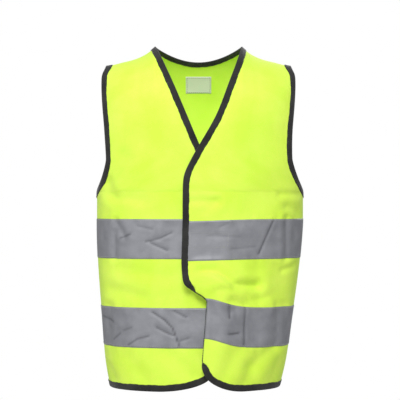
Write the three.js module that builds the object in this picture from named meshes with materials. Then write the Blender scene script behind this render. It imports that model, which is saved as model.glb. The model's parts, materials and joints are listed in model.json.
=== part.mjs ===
// A child's high-visibility vest: fluorescent knit panels, reflective tapes, black bindings and a
// hook-and-loop fastener. Millimetres, +Z up; the front faces -Y and the wearer's left is +X.
// Heights are measured up from the hem. At the end the vest is lowered so that its origin is
// midway between the shoulder seams.
import * as THREE from 'three';

// ---- Driving dimensions ----

// The hanging vest as a whole
const neckHeight = 436;       // hem to the shoulder seam beside the neck
const shoulderDrop = 24;      // fall of the shoulder seam from the neck to the armhole
const chestHalfWidth = 133;
const hemHalfWidth = 108;
const chestBelowUnderarm = 33; // above this the section keeps its width
const chestFrontDepth = 82;   // middle of the section to the front panels
const hemFrontDepth = 98;
const chestBackDepth = 80;
const hemBackDepth = 90;
const squareness = 2.5;       // 2 is an ellipse, more is squarer
const hemSway = -6.6;         // the hem hangs a little to the wearer's right
const shoulderSway = -2;

// Neck, shoulders and armholes
const neckHalfWidth = 56;
const neckDrop = 128;         // shoulder seam to the bottom of the V
const backNeckDrop = 17;
const shoulderCurve = 106;    // height over which the panels curve back to the shoulder seam
const shoulderFade = 24;      // how fast the seam levels out towards the armhole
const armholeDepth = 188;     // neck point to underarm
const armholeScoop = 14.5;    // how far the front armhole cuts in from the side seam
const backScoop = 11;
const scoopHeight = 42;       // height over which the armhole cuts in
const shoulderFlare = 6;      // how far the armhole edge runs out again towards the shoulder

// Fabric, tape, binding and small pieces
const fabric = 1.0;
const tapeThickness = 0.5;
const tapeWidth = 50;
const tapeInset = 0.9;        // the tape stops this far from the edge binding
const tapeGap = 61;           // between the two tapes
const lowerTapeHeight = 53;   // hem to the lower tape
const bindingWidth = 7.2;
const bindingCloth = 0.6;
const patchThickness = 1.2;
const hookLength = 50;
const loopLength = 30;        // what the two edges leave between them
const patchWidth = 21;
const patchDrop = 1;          // the fastener sits this far below the middle of the upper tape
const labelThickness = 0.4;
const sizeLabelWidth = 34;
const sizeLabelHeight = 22;
const sizeLabelDrop = 20;     // below the back neck binding
const careLabelWidth = 26;
const careLabelHeight = 46;
const careLabelInset = 45;    // in from the side seam
const allowanceThickness = 1.2;
const allowanceClear = 2;     // between a seam allowance and the binding beside it

// The two fronts
const overlap = 21;           // each front edge passes the centre by this much
const neckBulge = 4.4;        // the over panel's neckline is fuller, this far up from the V
const neckBulgeRise = 32;
const neckBulgeHeight = 38;
const neckBlend = 4;          // rounding where the V edge turns into the front edge
const foldTopRise = 25;       // the opening fold meets the V edge this far up the shoulder curve
const foldTopX = 34;
const foldHemX = 85;
const gap = 0.35;             // between pieces that touch
const bindingGap = 0.75;      // room inside a binding for the panel's faceted curve
const curvedGap = 1.15;       // the same round the neck and the armholes
const seamGap = 0.5;          // between panels that meet edge to edge

// The over panel below its fastener: it stands off, and its edge is turned under
const fastenerGap = 5.3;
const lowerBillow = 6.5;
const billowFull = 118;       // the lower billow has its whole depth below this
const billowGone = 165;
const billowCrest = 5;        // a roll of cloth above the turned edge
const billowCentre = 138;
const billowHeight = 15;
const liftStart = 26;         // the over panel comes back to the body between these places
const liftEnd = 78;
const liftFade = 55;          // and over this height above the bottom of the V
const turnTop = 113;
const turnBottom = 48;
const turnWidth = 10.5;
const turnRun = 22;           // height over which the edge rolls under
const turnRadius = 2.5;
const turnedEdgeInset = 9;    // the turned edge stops this far short of the under panel's edge
const turnCreep = 4;          // and how far the hem end has crept back
const lowTapeRise = 13;       // the cloth gathered up at the turned edge
const lowTapeRiseCentre = 8;
const lowTapeRiseWidth = 34;
const highTapeDip = 2.5;
const highTapeDipCentre = -20;
const highTapeDipWidth = 60;

// ---- Heights that follow from them ----
const shoulderHeight = neckHeight - shoulderDrop;
const shoulderStart = neckHeight - shoulderCurve;
const underarm = neckHeight - armholeDepth;
const neckBottom = neckHeight - neckDrop;
const chestHeight = underarm - chestBelowUnderarm;
const foldTopHeight = shoulderStart + foldTopRise;
const turnShift = 2 * overlap - turnedEdgeInset; // how far the turned edge has moved across
const lowerTapeTop = lowerTapeHeight + tapeWidth;
const upperTapeHeight = lowerTapeTop + tapeGap;
const upperTapeTop = upperTapeHeight + tapeWidth;

// ---- Small helpers ----
const clamp01 = (v) => Math.min(1, Math.max(0, v));
const mix = (a, b, t) => a + (b - a) * t;
const range = (n) => Array.from({ length: n }, (_, i) => i);
const bell = (v, centre, width) => Math.exp(-(((v - centre) / width) ** 2));

function smooth(from, to, v) {
  const t = clamp01((v - from) / (to - from));
  return t * t * (3 - 2 * t);
}

// ---- The surface that the vest hangs on ----
const towardsHem = (z) => clamp01(1 - z / chestHeight);

function halfWidth(z) {
  return chestHalfWidth - (chestHalfWidth - hemHalfWidth) * towardsHem(z) ** 1.6;
}

function centreX(z) {
  return hemSway * towardsHem(z) ** 1.1 + shoulderSway * smooth(underarm, shoulderStart, z);
}

function ridgeHeight(u) {
  return shoulderHeight + shoulderDrop * Math.exp(-Math.max(0, Math.abs(u) - neckHalfWidth) / shoulderFade);
}

// How far the sheet stands from the middle plane, u sideways from the centre line and z up.
function bodyDepth(chest, hem, u, z) {
  const depth = mix(chest, hem, towardsHem(z) ** 1.3);
  const across = (1 - clamp01(Math.abs(u) / halfWidth(z)) ** squareness) ** (1 / squareness);
  const t = clamp01((z - shoulderStart) / (ridgeHeight(u) - shoulderStart));
  return depth * across * Math.sqrt(1 - t * t);
}

// A point of a sheet and its outward normal. facing is -1 for the fronts and +1 for the back.
function sheetPoint(sheet, u, z) {
  const step = 0.4;
  const depth = (a, b) => sheet.depth(a, b);
  const slopeU = (depth(u + step, z) - depth(u - step, z)) / (2 * step);
  const slopeZ = (depth(u, z + step) - depth(u, z - step)) / (2 * step);
  const y = sheet.facing * Math.max(depth(u, z), seamGap / 2);
  return {
    at: new THREE.Vector3(centreX(z) + sheet.side * u, y, z),
    normal: new THREE.Vector3(-slopeU * sheet.side, sheet.facing, -slopeZ).normalize(),
  };
}

// ---- Outlines ----
function neckEdge(bow, z) {
  const rise = (z - neckBottom) / neckDrop;
  if (rise <= 0) return neckHalfWidth * bow * rise;
  return neckHalfWidth * (1 - (1 - clamp01(rise)) ** bow);
}

function armholeEdge(scoop, level) {
  const low = clamp01(1 - (level - underarm) / scoopHeight) ** 1.3;
  const high = smooth(underarm + scoopHeight, shoulderHeight, level);
  const top = chestHalfWidth - armholeScoop + shoulderFlare;
  return mix(chestHalfWidth - scoop * (1 - low), top, high);
}

// The front edge, with its rounded corner at the hem.
function frontEdge(front, z) {
  const v = neckEdge(front.neckBow, z) + front.neckBulge(z) + overlap;
  const edge = (v + Math.hypot(v, neckBlend)) / 2 - overlap + front.shift(z);
  const down = clamp01(1 - z / front.cornerHeight);
  return edge + front.cornerWidth * (1 - Math.sqrt(1 - down * down));
}

// The hem line of a front: level, then rising round the corner as far as its middle.
function hemLine(front, u) {
  const edge = frontEdge(front, front.cornerHeight);
  const along = clamp01((edge + front.cornerWidth - u) / front.cornerWidth);
  const reach = Math.min(along, Math.SQRT1_2);
  return front.cornerHeight * (1 - Math.sqrt(1 - reach * reach));
}

function foldX(side, z) {
  const share = z / foldTopHeight;
  return side * (side * mix(foldHemX, foldTopX, share) + mix(hemSway, 0, share) - centreX(z));
}

const flat = () => 0;

function turnedShift(z) {
  return turnShift * (1 - smooth(turnTop, turnTop + turnRun, z)) - turnCreep * (1 - smooth(0, turnTop, z));
}

function turnedAngle(z) {
  return Math.PI * smooth(turnTop + turnRun, turnTop, z) * smooth(turnBottom - turnRun, turnBottom, z);
}

const over = {
  side: 1,
  facing: -1,
  neckBow: 1.22,
  neckBulge: (z) => neckBulge * bell(z, neckBottom + neckBulgeRise, neckBulgeHeight),
  cornerWidth: 56,
  cornerHeight: 33,
  shift: turnedShift,
  turn: turnedAngle,
  stripSteps: [turnWidth, bindingWidth + tapeInset, ...[2, 1, 0].map((k) => (k * bindingWidth) / 3)],
  lowRise: (u) => lowTapeRise * bell(u, lowTapeRiseCentre, lowTapeRiseWidth),
  highRise: (u) => -highTapeDip * bell(u, highTapeDipCentre, highTapeDipWidth),
};

const under = {
  side: -1,
  facing: -1,
  neckBow: 0.94,
  neckBulge: flat,
  cornerWidth: 70,
  cornerHeight: 22,
  shift: flat,
  turn: flat,
  stripSteps: [bindingWidth + tapeInset, 0],
  lowRise: flat,
  highRise: flat,
};

function overLift(u, z) {
  const low = lowerBillow * (1 - smooth(billowFull, billowGone, z));
  const crest = billowCrest * bell(z, billowCentre, billowHeight);
  const reach = 1 - smooth(liftStart, liftEnd, u);
  return (fastenerGap + low + crest) * reach * (1 - smooth(neckBottom, neckBottom + liftFade, z));
}

over.depth = (u, z) => bodyDepth(chestFrontDepth, hemFrontDepth, u, z) + overLift(u, z);
under.depth = (u, z) => bodyDepth(chestFrontDepth, hemFrontDepth, u, z);

const back = { side: 1, facing: 1, depth: (u, z) => bodyDepth(chestBackDepth, hemBackDepth, u, z) };

// ---- Rows shared by the fronts and the back, as heights at the neck point ----
const hemShares = [0, 0.2, 0.45, 0.7];
const lowRows = [
  ...hemShares.map((share) => share * lowerTapeHeight),
  lowerTapeHeight,
  mix(lowerTapeHeight, lowerTapeTop, 0.5),
  lowerTapeTop,
  ...[0.14, 0.26, 0.38, 0.5, 0.72].map((share) => mix(lowerTapeTop, upperTapeHeight, share)),
  upperTapeHeight,
  mix(upperTapeHeight, upperTapeTop, 0.5),
  upperTapeTop,
  mix(upperTapeTop, underarm, 0.6),
  underarm,
];
const armRows = [0.03, 0.1, 0.2, 0.34, 0.52, 0.76, 1].map((share) => mix(underarm, shoulderStart, share));
const foldRow = foldTopHeight;
// Over the shoulders the rows are spaced by the angle that the panel has turned through.
const foldAngle = Math.asin((foldRow - shoulderStart) / shoulderCurve);
const topShares = [1, 2, 3, 4, 5, 6].map((k) => k / 6);
const levelAt = (angle) => shoulderStart + shoulderCurve * Math.sin(angle);
const topRows = topShares.map((share) => levelAt(mix(foldAngle, Math.PI / 2, share)));
const flapRows = [...lowRows, ...armRows, foldRow - gap - seamGap / 2];
const sideRows = [...lowRows, ...armRows, foldRow, foldRow + seamGap, ...topRows];
const backRows = [...lowRows, ...armRows, foldRow, ...topRows];
const rowOf = (rows, level) => rows.findIndex((value) => Math.abs(value - level) < 1e-6);

// The true height of a row at a place u across.
function rowHeight(front, level, u) {
  const low = front.lowRise(u);
  const high = front.highRise(u);
  if (level < lowerTapeHeight) {
    return mix(hemLine(front, u), lowerTapeHeight + low, level / lowerTapeHeight);
  }
  if (level > shoulderStart) {
    return mix(shoulderStart, ridgeHeight(u), (level - shoulderStart) / shoulderCurve);
  }
  const rise = mix(low, high, smooth(lowerTapeTop, upperTapeHeight, level));
  return level + rise * (1 - smooth(upperTapeTop, underarm, level));
}

// Where a row meets an upright line such as an edge, found by repeating a few times.
function meet(line, height, start) {
  let u = start;
  for (let i = 0; i < 12; i += 1) u = line(height(u));
  return u;
}

// Places between two ends, closer together where the section turns.
function spread(from, to, count, wide) {
  const turnOf = (u) => Math.acos(Math.sign(u) * Math.min(1, Math.abs(u) / wide) ** (squareness / 2));
  const placeOf = (a) => wide * Math.sign(Math.cos(a)) * Math.abs(Math.cos(a)) ** (2 / squareness);
  return range(count + 1).map((i) => placeOf(mix(turnOf(from), turnOf(to), i / count)));
}

// ---- Grids of points and normals ----
const sideColumns = 6;
const flapColumns = 6;

function outerEnd(front, level) {
  if (level > underarm) return armholeEdge(armholeScoop, level);
  return halfWidth(level);
}

function sideRow(front, level) {
  const height = (u) => rowHeight(front, level, u);
  const outer = outerEnd(front, level);
  const inner = level > foldRow
    ? meet((z) => frontEdge(front, z), height, foldTopX)
    : meet((z) => foldX(front.side, z), height, foldHemX) + seamGap / 2;
  const wide = Math.max(halfWidth(level), outer);
  return spread(outer, inner, sideColumns, wide).map((u) => sheetPoint(front, u, height(u)));
}

function flapRow(front, level) {
  const height = (u) => rowHeight(front, level, u);
  const outer = meet((z) => foldX(front.side, z), height, foldHemX) - seamGap / 2;
  const edge = meet((z) => frontEdge(front, z), height, 0);
  const room = Math.min(1, (outer - edge) / (turnWidth + 3));
  const steps = front.stripSteps.map((step) => step * room);
  const angle = front.turn(height(edge));
  const turned = Math.min(angle, Math.PI / 2);
  const hidden = steps[0] - turnRadius * Math.sin(turned)
    - Math.max(0, steps[0] - turnRadius * turned) * Math.cos(turned);
  const stripStart = edge + steps[0] - hidden;
  const flatPart = spread(outer, stripStart, flapColumns, halfWidth(level));
  const points = flatPart.map((u) => sheetPoint(front, u, height(u)));
  const strip = steps.slice(1).map((step) => turnedPoint(front, stripStart, steps[0] - step, angle, height));
  return [...points, ...strip];
}

// A point of the edge strip, rolled under about its start by the turning angle.
function turnedPoint(front, stripStart, along, angle, height) {
  const start = sheetPoint(front, stripStart, height(stripStart));
  const u = stripStart - along;
  const plain = sheetPoint(front, u, height(u));
  const across = new THREE.Vector3(-front.side, 0, 0);
  across.addScaledVector(start.normal, -across.dot(start.normal)).normalize();
  const bend = Math.min(along / turnRadius, angle);
  const rest = along - turnRadius * bend;
  const forward = turnRadius * Math.sin(bend) + rest * Math.cos(bend) - along;
  const inward = turnRadius * (1 - Math.cos(bend)) + rest * Math.sin(bend);
  const at = plain.at.clone().addScaledVector(across, forward).addScaledVector(start.normal, -inward);
  const normal = plain.normal.clone().multiplyScalar(Math.cos(bend));
  normal.addScaledVector(across, Math.sin(bend)).normalize();
  return { at, normal };
}

// The back: its upper rows rise to the shoulder seams and dip across the back of the neck.
const backSideColumns = 5;
const backNeckColumns = 10;

// The angle at which the back ends: at the shoulder seam, or lower across the round neck.
function backTopAngle(u) {
  const deepest = Math.sqrt(1 - (1 - backNeckDrop / shoulderCurve) ** 2);
  return Math.acos(deepest * Math.sqrt(1 - clamp01(Math.abs(u) / neckHalfWidth) ** 2));
}

function backRow(level) {
  const turned = Math.asin(clamp01((level - shoulderStart) / shoulderCurve));
  const share = (turned - foldAngle) / (Math.PI / 2 - foldAngle);
  const height = (u) => {
    if (level <= shoulderStart) return level;
    const wanted = share > 0 ? levelAt(mix(foldAngle, backTopAngle(u), share)) : level;
    return mix(shoulderStart, ridgeHeight(u), (wanted - shoulderStart) / shoulderCurve);
  };
  const outer = level > underarm ? armholeEdge(backScoop, level) : halfWidth(level);
  const wide = Math.max(halfWidth(level), outer);
  const half = spread(outer, neckHalfWidth, backSideColumns, wide);
  const neckPlace = (i) => neckHalfWidth * Math.cos((Math.PI * (i + 1)) / backNeckColumns);
  const middle = range(backNeckColumns - 1).map(neckPlace);
  const places = [...half, ...middle, ...half.map((u) => -u).reverse()];
  return places.map((u) => sheetPoint(back, u, height(u)));
}

const grids = {
  overSide: sideRows.map((level) => sideRow(over, level)),
  overFlap: flapRows.map((level) => flapRow(over, level)),
  underSide: sideRows.map((level) => sideRow(under, level)),
  underFlap: flapRows.map((level) => flapRow(under, level)),
  back: backRows.map((level) => backRow(level)),
};

// ---- Solids ----

// A closed solid from points and triangles, turned so that its faces point out.
function solid(points, triangles) {
  let volume = 0;
  for (const [a, b, c] of triangles) {
    volume += points[a].dot(points[b].clone().cross(points[c]));
  }
  const geometry = new THREE.BufferGeometry();
  geometry.setFromPoints(points);
  geometry.setIndex(triangles.flatMap(([a, b, c]) => (volume > 0 ? [a, b, c] : [a, c, b])));
  geometry.computeVertexNormals();
  return geometry;
}

const offset = (p, distance) => p.at.clone().addScaledVector(p.normal, distance);

// Two triangles of a four-cornered face, cut along its shorter diagonal.
function halves(points, [a, b, c, d]) {
  const straight = points[a].distanceTo(points[c]) <= points[b].distanceTo(points[d]);
  return straight ? [[a, b, c], [a, c, d]] : [[a, b, d], [b, c, d]];
}

// A sheet of even thickness between two distances from a grid.
function sheetSolid(grid, inner, outer) {
  const rows = grid.length;
  const columns = grid[0].length;
  const points = [inner, outer].flatMap((distance) => grid.flat().map((p) => offset(p, distance)));
  const id = (layer, i, j) => layer * rows * columns + i * columns + j;
  const quads = [];
  for (let i = 0; i + 1 < rows; i += 1) {
    for (let j = 0; j + 1 < columns; j += 1) {
      quads.push([id(1, i, j), id(1, i, j + 1), id(1, i + 1, j + 1), id(1, i + 1, j)]);
      quads.push([id(0, i, j), id(0, i + 1, j), id(0, i + 1, j + 1), id(0, i, j + 1)]);
    }
  }
  const rim = rimOf(rows, columns);
  rim.forEach(([i, j], k) => {
    const [m, n] = rim[(k + 1) % rim.length];
    quads.push([id(0, i, j), id(0, m, n), id(1, m, n), id(1, i, j)]);
  });
  return solid(points, quads.flatMap((quad) => halves(points, quad)));
}

// The border of a grid, once round.
function rimOf(rows, columns) {
  return [
    ...range(columns - 1).map((j) => [0, j]),
    ...range(rows - 1).map((i) => [i, columns - 1]),
    ...range(columns - 1).map((j) => [rows - 1, columns - 1 - j]),
    ...range(rows - 1).map((i) => [rows - 1 - i, 0]),
  ];
}

// A place on the triangles of a grid, by row and column with fractions.
function between(grid, row, column) {
  const i = Math.min(Math.floor(row), grid.length - 2);
  const j = Math.min(Math.floor(column), grid[0].length - 2);
  const [v, u] = [row - i, column - j];
  const [a, b, c, d] = [grid[i][j], grid[i][j + 1], grid[i + 1][j + 1], grid[i + 1][j]];
  const straight = a.at.distanceTo(c.at) <= b.at.distanceTo(d.at);
  const weights = straight
    ? [1 - Math.max(u, v), Math.max(0, u - v), Math.min(u, v), Math.max(0, v - u)]
    : [Math.max(0, 1 - u - v), Math.min(u, 1 - v), Math.max(0, u + v - 1), Math.min(v, 1 - u)];
  const blend = (key) => [a, b, c, d].reduce(
    (sum, corner, k) => sum.addScaledVector(corner[key], weights[k]),
    new THREE.Vector3(),
  );
  return { at: blend('at'), normal: blend('normal') };
}

// The place on a grid that is nearest to a target, by Newton steps from a starting place.
function nearest(grid, target, row, column) {
  const limit = (v, top) => Math.min(Math.max(v, 0), top);
  const step = 0.02;
  let [r, c] = [row, column];
  for (let turn = 0; turn < 40; turn += 1) {
    const here = between(grid, r, c).at;
    const dr = r + step > grid.length - 1 ? -step : step;
    const dc = c + step > grid[0].length - 1 ? -step : step;
    const alongRow = between(grid, r + dr, c).at.sub(here).divideScalar(dr);
    const alongColumn = between(grid, r, c + dc).at.sub(here).divideScalar(dc);
    const miss = target.clone().sub(here);
    const [rr, rc, cc] = [alongRow.dot(alongRow), alongRow.dot(alongColumn), alongColumn.dot(alongColumn)];
    const [mr, mc] = [miss.dot(alongRow), miss.dot(alongColumn)];
    const scale = 0.7 / Math.max(rr * cc - rc * rc, 1e-9);
    r = limit(r + limit((mr * cc - mc * rc) * scale + 1, 2) - 1, grid.length - 1);
    c = limit(c + limit((mc * rr - mr * rc) * scale + 1, 2) - 1, grid[0].length - 1);
  }
  return { row: r, column: c };
}

// The place on a row at a distance in from its last point.
function alongRow(grid, row, distance) {
  let column = grid[row].length - 1;
  let left = distance;
  let span = grid[row][column].at.distanceTo(grid[row][column - 1].at);
  while (left > span && column > 1) {
    left -= span;
    column -= 1;
    span = grid[row][column].at.distanceTo(grid[row][column - 1].at);
  }
  return between(grid, row, column - Math.min(1, left / span));
}

// ---- Bindings: folded strips that wrap an edge ----

// One station of a binding: the edge point, and points further in along the sheet.
function station(path, k, closed, legSteps) {
  const { grid, row, column, inside, level } = path[k];
  const count = path.length;
  const before = path[closed ? (k + count - 1) % count : Math.max(0, k - 1)];
  const after = path[closed ? (k + 1) % count : Math.min(count - 1, k + 1)];
  const pointOf = (p) => between(p.grid, p.row, p.column);
  const edge = pointOf(path[k]);
  const along = pointOf(after).at.clone().sub(pointOf(before).at).normalize();
  const inward = edge.normal.clone().cross(along).normalize();
  if (inward.dot(between(grid, ...inside).at.sub(edge.at)) < 0) inward.negate();
  const legs = legSteps.map((step) => {
    if (level) return alongRow(grid, row, step);
    const target = edge.at.clone().addScaledVector(inward, step);
    const place = nearest(grid, target, row, column);
    return between(grid, place.row, place.column);
  });
  return { edge, inward, legs };
}

// The outline of a binding's section at a station, once round.
function bindingRing({ edge, inward, legs }, room) {
  const inner = fabric / 2 + room;
  const outer = inner + bindingCloth;
  const past = (distance, beyond) => offset(edge, distance).addScaledVector(inward, -beyond);
  const out = [...legs].reverse();
  return [
    ...out.map((p) => offset(p, outer)),
    past(outer - 0.2, gap),
    past(bindingCloth / 2, gap + bindingCloth),
    past(-bindingCloth / 2, gap + bindingCloth),
    past(-outer + 0.2, gap),
    ...legs.map((p) => offset(p, -outer)),
    ...out.map((p) => offset(p, -inner)),
    past(-inner, gap),
    past(inner, gap),
    ...legs.map((p) => offset(p, inner)),
  ];
}

const halfLegs = [bindingWidth / 2, bindingWidth];

function bindingSolid(path, { closed = false, legSteps = halfLegs, room = bindingGap } = {}) {
  const rings = range(path.length).map((k) => bindingRing(station(path, k, closed, legSteps), room));
  const size = rings[0].length;
  const id = (k, m) => (k % rings.length) * size + (m % size);
  const quads = [];
  for (let k = 0; k < (closed ? rings.length : rings.length - 1); k += 1) {
    for (let m = 0; m < size; m += 1) {
      quads.push([id(k, m), id(k, m + 1), id(k + 1, m + 1), id(k + 1, m)]);
    }
  }
  const points = rings.flat();
  const triangles = quads.flatMap((quad) => halves(points, quad));
  if (!closed) {
    const cap = bindingCap(legSteps.length);
    const last = (rings.length - 1) * size;
    cap.forEach(([a, b, c]) => triangles.push([a, c, b], [last + a, last + b, last + c]));
  }
  return solid(points, triangles);
}

// The end of a binding, as triangles of its section's points.
function bindingCap(legCount) {
  const n = legCount;
  const outerFront = n;
  const outerBack = n + 3;
  const innerBack = 3 * n + 4;
  const innerFront = innerBack + 1;
  const size = 4 * n + 6;
  const triangles = [];
  for (let k = 0; k < n; k += 1) {
    const a = outerFront - k;
    const b = innerFront + k;
    triangles.push([a, a - 1, b], [a - 1, (b + 1) % size, b]);
    const c = outerBack + k;
    const d = innerBack - k;
    triangles.push([c, d, c + 1], [c + 1, d, d - 1]);
  }
  triangles.push([outerFront, innerFront, outerFront + 1], [outerFront + 1, innerFront, innerBack]);
  triangles.push([outerFront + 1, innerBack, outerFront + 2], [outerFront + 2, innerBack, outerBack]);
  return triangles.map(([p, q, r]) => [p, r, q]);
}

// ---- Paths along the edges of the grids ----
const edgePoint = (grid, row, column, inside, level = false) => ({ grid, row, column, inside, level });
const lastOf = (list) => list.length - 1;

function armholePath(front, backGrid, backColumn, backInside) {
  const from = rowOf(sideRows, underarm);
  const fronts = range(sideRows.length - from)
    .map((k) => from + k)
    .filter((row) => sideRows[row] !== foldRow + seamGap)
    .map((row) => edgePoint(front, row, 0, row === from ? [row - 1, 0] : [row, 1]));
  const start = rowOf(backRows, underarm);
  const backs = range(backRows.length - start - 2)
    .map((k) => backRows.length - 2 - k)
    .map((row) => edgePoint(backGrid, row, backColumn, [row, backInside]));
  return [...fronts, ...backs];
}

function flapPath(grid) {
  const column = lastOf(grid[0]);
  const down = range(grid.length).map((k) => lastOf(grid) - k);
  const hem = range(column).map((k) => column - 1 - k);
  return [
    ...down.map((row) => edgePoint(grid, row, column, [Math.max(row, 1), column - 1], row > 0)),
    ...hem.map((j) => edgePoint(grid, 0, j, [1, j])),
  ];
}

function hemPath() {
  const inner = sideColumns;
  const left = range(inner + 1).map((k) => edgePoint(grids.overSide, 0, inner - k, [1, inner - k]));
  const columns = lastOf(grids.back[0]);
  const middle = range(columns - 1).map((k) => edgePoint(grids.back, 0, k + 1, [1, k + 1]));
  const right = range(inner + 1).map((k) => edgePoint(grids.underSide, 0, k, [1, k]));
  return [...left, ...middle, ...right];
}

function neckPath() {
  const from = rowOf(sideRows, foldRow + seamGap);
  const rows = range(sideRows.length - from).map((k) => from + k);
  const side = (grid) => rows.map((row) => edgePoint(grid, row, sideColumns, [row, sideColumns - 1], true));
  const top = lastOf(grids.back);
  const columns = range(2 * backNeckColumns + 1).map((k) => backSideColumns + k / 2);
  const behind = columns.map((j) => edgePoint(grids.back, top, j, [top - 1, j]));
  return [...side(grids.overSide), ...behind, ...side(grids.underSide).reverse()];
}

// ---- Tapes, patches, labels and seam allowances ----
function tapeSolid(grid, rows, from, to, trim = 0) {
  const first = rowOf(rows, from);
  const last = rowOf(rows, to);
  const part = grid.slice(first, last + 1).map((row) => row.slice(0, row.length - trim));
  const inner = fabric / 2 + gap;
  return sheetSolid(part, inner, inner + tapeThickness);
}

// A small rectangle laid on a sheet, given by its middle, size and distances from the sheet.
function patchSolid(sheet, grid, { u, z, wide, high, inner, outer, across = 5, up = 2 }) {
  const patch = range(up + 1).map((i) => range(across + 1).map((j) => {
    const place = u + wide * (0.5 - j / across);
    const target = sheetPoint(sheet, place, z + high * (i / up - 0.5)).at;
    const spot = nearest(grid, target, grid.length / 2, grid[0].length / 2);
    return between(grid, spot.row, spot.column);
  }));
  return sheetSolid(patch, inner, outer);
}

const inside = -(fabric / 2 + gap);

// The column of a row at a distance from its first point.
function columnAlong(row, distance) {
  let column = 0;
  let left = distance;
  let span = row[1].at.distanceTo(row[0].at);
  while (left > span) {
    left -= span;
    column += 1;
    span = row[column + 1].at.distanceTo(row[column].at);
  }
  return column + left / span;
}

// The overlocked allowance beside a side seam, on the inside of the back.
function sideAllowance(mirrored) {
  const first = rowOf(backRows, lowerTapeHeight * hemShares[1]);
  const top = underarm - bindingWidth - allowanceClear;
  const last = backRows.findLastIndex((level) => level < top);
  const strip = grids.back.slice(first, last + 1).map((row, k) => {
    const start = lastOf(row);
    const at = (share) => between(grids.back, first + k, mirrored ? start - share : share);
    return [at(0), at(0.45)];
  });
  return sheetSolid(strip, inside - allowanceThickness, inside);
}

// The overlocked allowance along a shoulder seam, on the inside of the back.
function shoulderAllowance(mirrored) {
  const top = lastOf(grids.back);
  const start = columnAlong(grids.back[top], bindingWidth + allowanceClear);
  const clear = (share) => mix(start, backSideColumns - 1, share);
  const strip = [top - 1 + 0.35, top - 1 + 0.7, top].map((row) => range(4).map((k) => {
    const column = clear(k / 3);
    return between(grids.back, row, mirrored ? lastOf(grids.back[0]) - column : column);
  }));
  return sheetSolid(strip, inside - allowanceThickness, inside);
}

// ---- Materials ----
const material = (color, roughness, metalness = 0) => (
  new THREE.MeshStandardMaterial({ color, roughness, metalness, side: THREE.DoubleSide })
);
const knit = () => material('#d8ff3c', 0.85);
const reflective = () => material('#9a9ba2', 0.45, 0.3);
const black = () => material('#26272a', 0.8);
const hookLoop = () => material('#c9e84a', 0.95);
const white = () => material('#f2f2ee', 0.7);
const thread = () => material('#c4e838', 0.8);

function part(name, geometry, finish) {
  const mesh = new THREE.Mesh(geometry, finish);
  mesh.name = name;
  return mesh;
}

const panel = (name, grid) => part(name, sheetSolid(grid, -fabric / 2, fabric / 2), knit());

// ---- The three moving groups ----
function torso() {
  const group = new THREE.Group();
  const { back: backGrid, overSide, underSide } = grids;
  const backEnd = lastOf(backGrid[0]);
  group.add(panel('back_panel', backGrid));
  group.add(panel('front_left_side_panel', overSide));
  group.add(panel('front_right_side_panel', underSide));
  const bands = [['lower', lowerTapeHeight, lowerTapeTop], ['upper', upperTapeHeight, upperTapeTop]];
  for (const [name, from, to] of bands) {
    group.add(part(`${name}_tape_back`, tapeSolid(backGrid, backRows, from, to), reflective()));
    group.add(part(`${name}_tape_left_side`, tapeSolid(overSide, sideRows, from, to), reflective()));
    group.add(part(`${name}_tape_right_side`, tapeSolid(underSide, sideRows, from, to), reflective()));
  }
  group.add(part('neck_binding', bindingSolid(neckPath(), { room: curvedGap }), black()));
  group.add(part('hem_binding', bindingSolid(hemPath()), black()));
  const leftArmhole = armholePath(overSide, backGrid, 0, 1);
  const rightArmhole = armholePath(underSide, backGrid, backEnd, backEnd - 1);
  const ring = { closed: true, room: curvedGap };
  group.add(part('left_armhole_binding', bindingSolid(leftArmhole, ring), black()));
  group.add(part('right_armhole_binding', bindingSolid(rightArmhole, ring), black()));
  group.add(part('left_side_seam', sideAllowance(false), thread()));
  group.add(part('right_side_seam', sideAllowance(true), thread()));
  group.add(part('left_shoulder_seam', shoulderAllowance(false), thread()));
  group.add(part('right_shoulder_seam', shoulderAllowance(true), thread()));
  group.add(part('size_label', sizeLabel(), white()));
  group.add(part('care_label', careLabel(), white()));
  return group;
}

const labelDepths = { inner: inside - labelThickness, outer: inside };

function sizeLabel() {
  const middle = neckHeight - backNeckDrop - bindingWidth - sizeLabelDrop;
  const z = mix(shoulderStart, ridgeHeight(0), (middle - shoulderStart) / shoulderCurve);
  const size = { wide: sizeLabelWidth, high: sizeLabelHeight };
  return patchSolid(back, grids.back, { u: 0, z, ...size, ...labelDepths });
}

function careLabel() {
  const z = mix(lowerTapeTop, upperTapeHeight, 0.4);
  const u = chestHalfWidth - careLabelInset;
  const size = { wide: careLabelWidth, high: careLabelHeight };
  return patchSolid(back, grids.back, { u, z, ...size, ...labelDepths });
}

function openingFront(names, front, grid, legSteps) {
  const group = new THREE.Group();
  const trim = lastOf(front.stripSteps) - front.stripSteps.indexOf(bindingWidth + tapeInset);
  const lower = tapeSolid(grid, flapRows, lowerTapeHeight, lowerTapeTop, trim);
  const upper = tapeSolid(grid, flapRows, upperTapeHeight, upperTapeTop, trim);
  group.add(panel(names.panel, grid));
  group.add(part(names.lowerTape, lower, reflective()));
  group.add(part(names.upperTape, upper, reflective()));
  group.add(part(names.binding, bindingSolid(flapPath(grid), { legSteps, room: curvedGap }), black()));
  return group;
}

const patchHeight = upperTapeHeight + tapeWidth / 2 - patchDrop;

// A fastener patch that starts just inside the edge binding.
function patchPlace(long) {
  const u = -overlap + bindingWidth + tapeInset + long / 2;
  return { u, z: patchHeight, wide: long, high: patchWidth };
}

function overFront() {
  const names = {
    panel: 'front_left_flap_panel',
    lowerTape: 'lower_tape_left_flap',
    upperTape: 'upper_tape_left_flap',
    binding: 'left_edge_binding',
  };
  const group = openingFront(names, over, grids.overFlap, [1, 2, 3].map((k) => (k * bindingWidth) / 3));
  const depths = { inner: inside - patchThickness, outer: inside };
  const hooks = patchSolid(over, grids.overFlap, { ...patchPlace(hookLength), ...depths });
  group.add(part('hook_patch', hooks, hookLoop()));
  return group;
}

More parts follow.
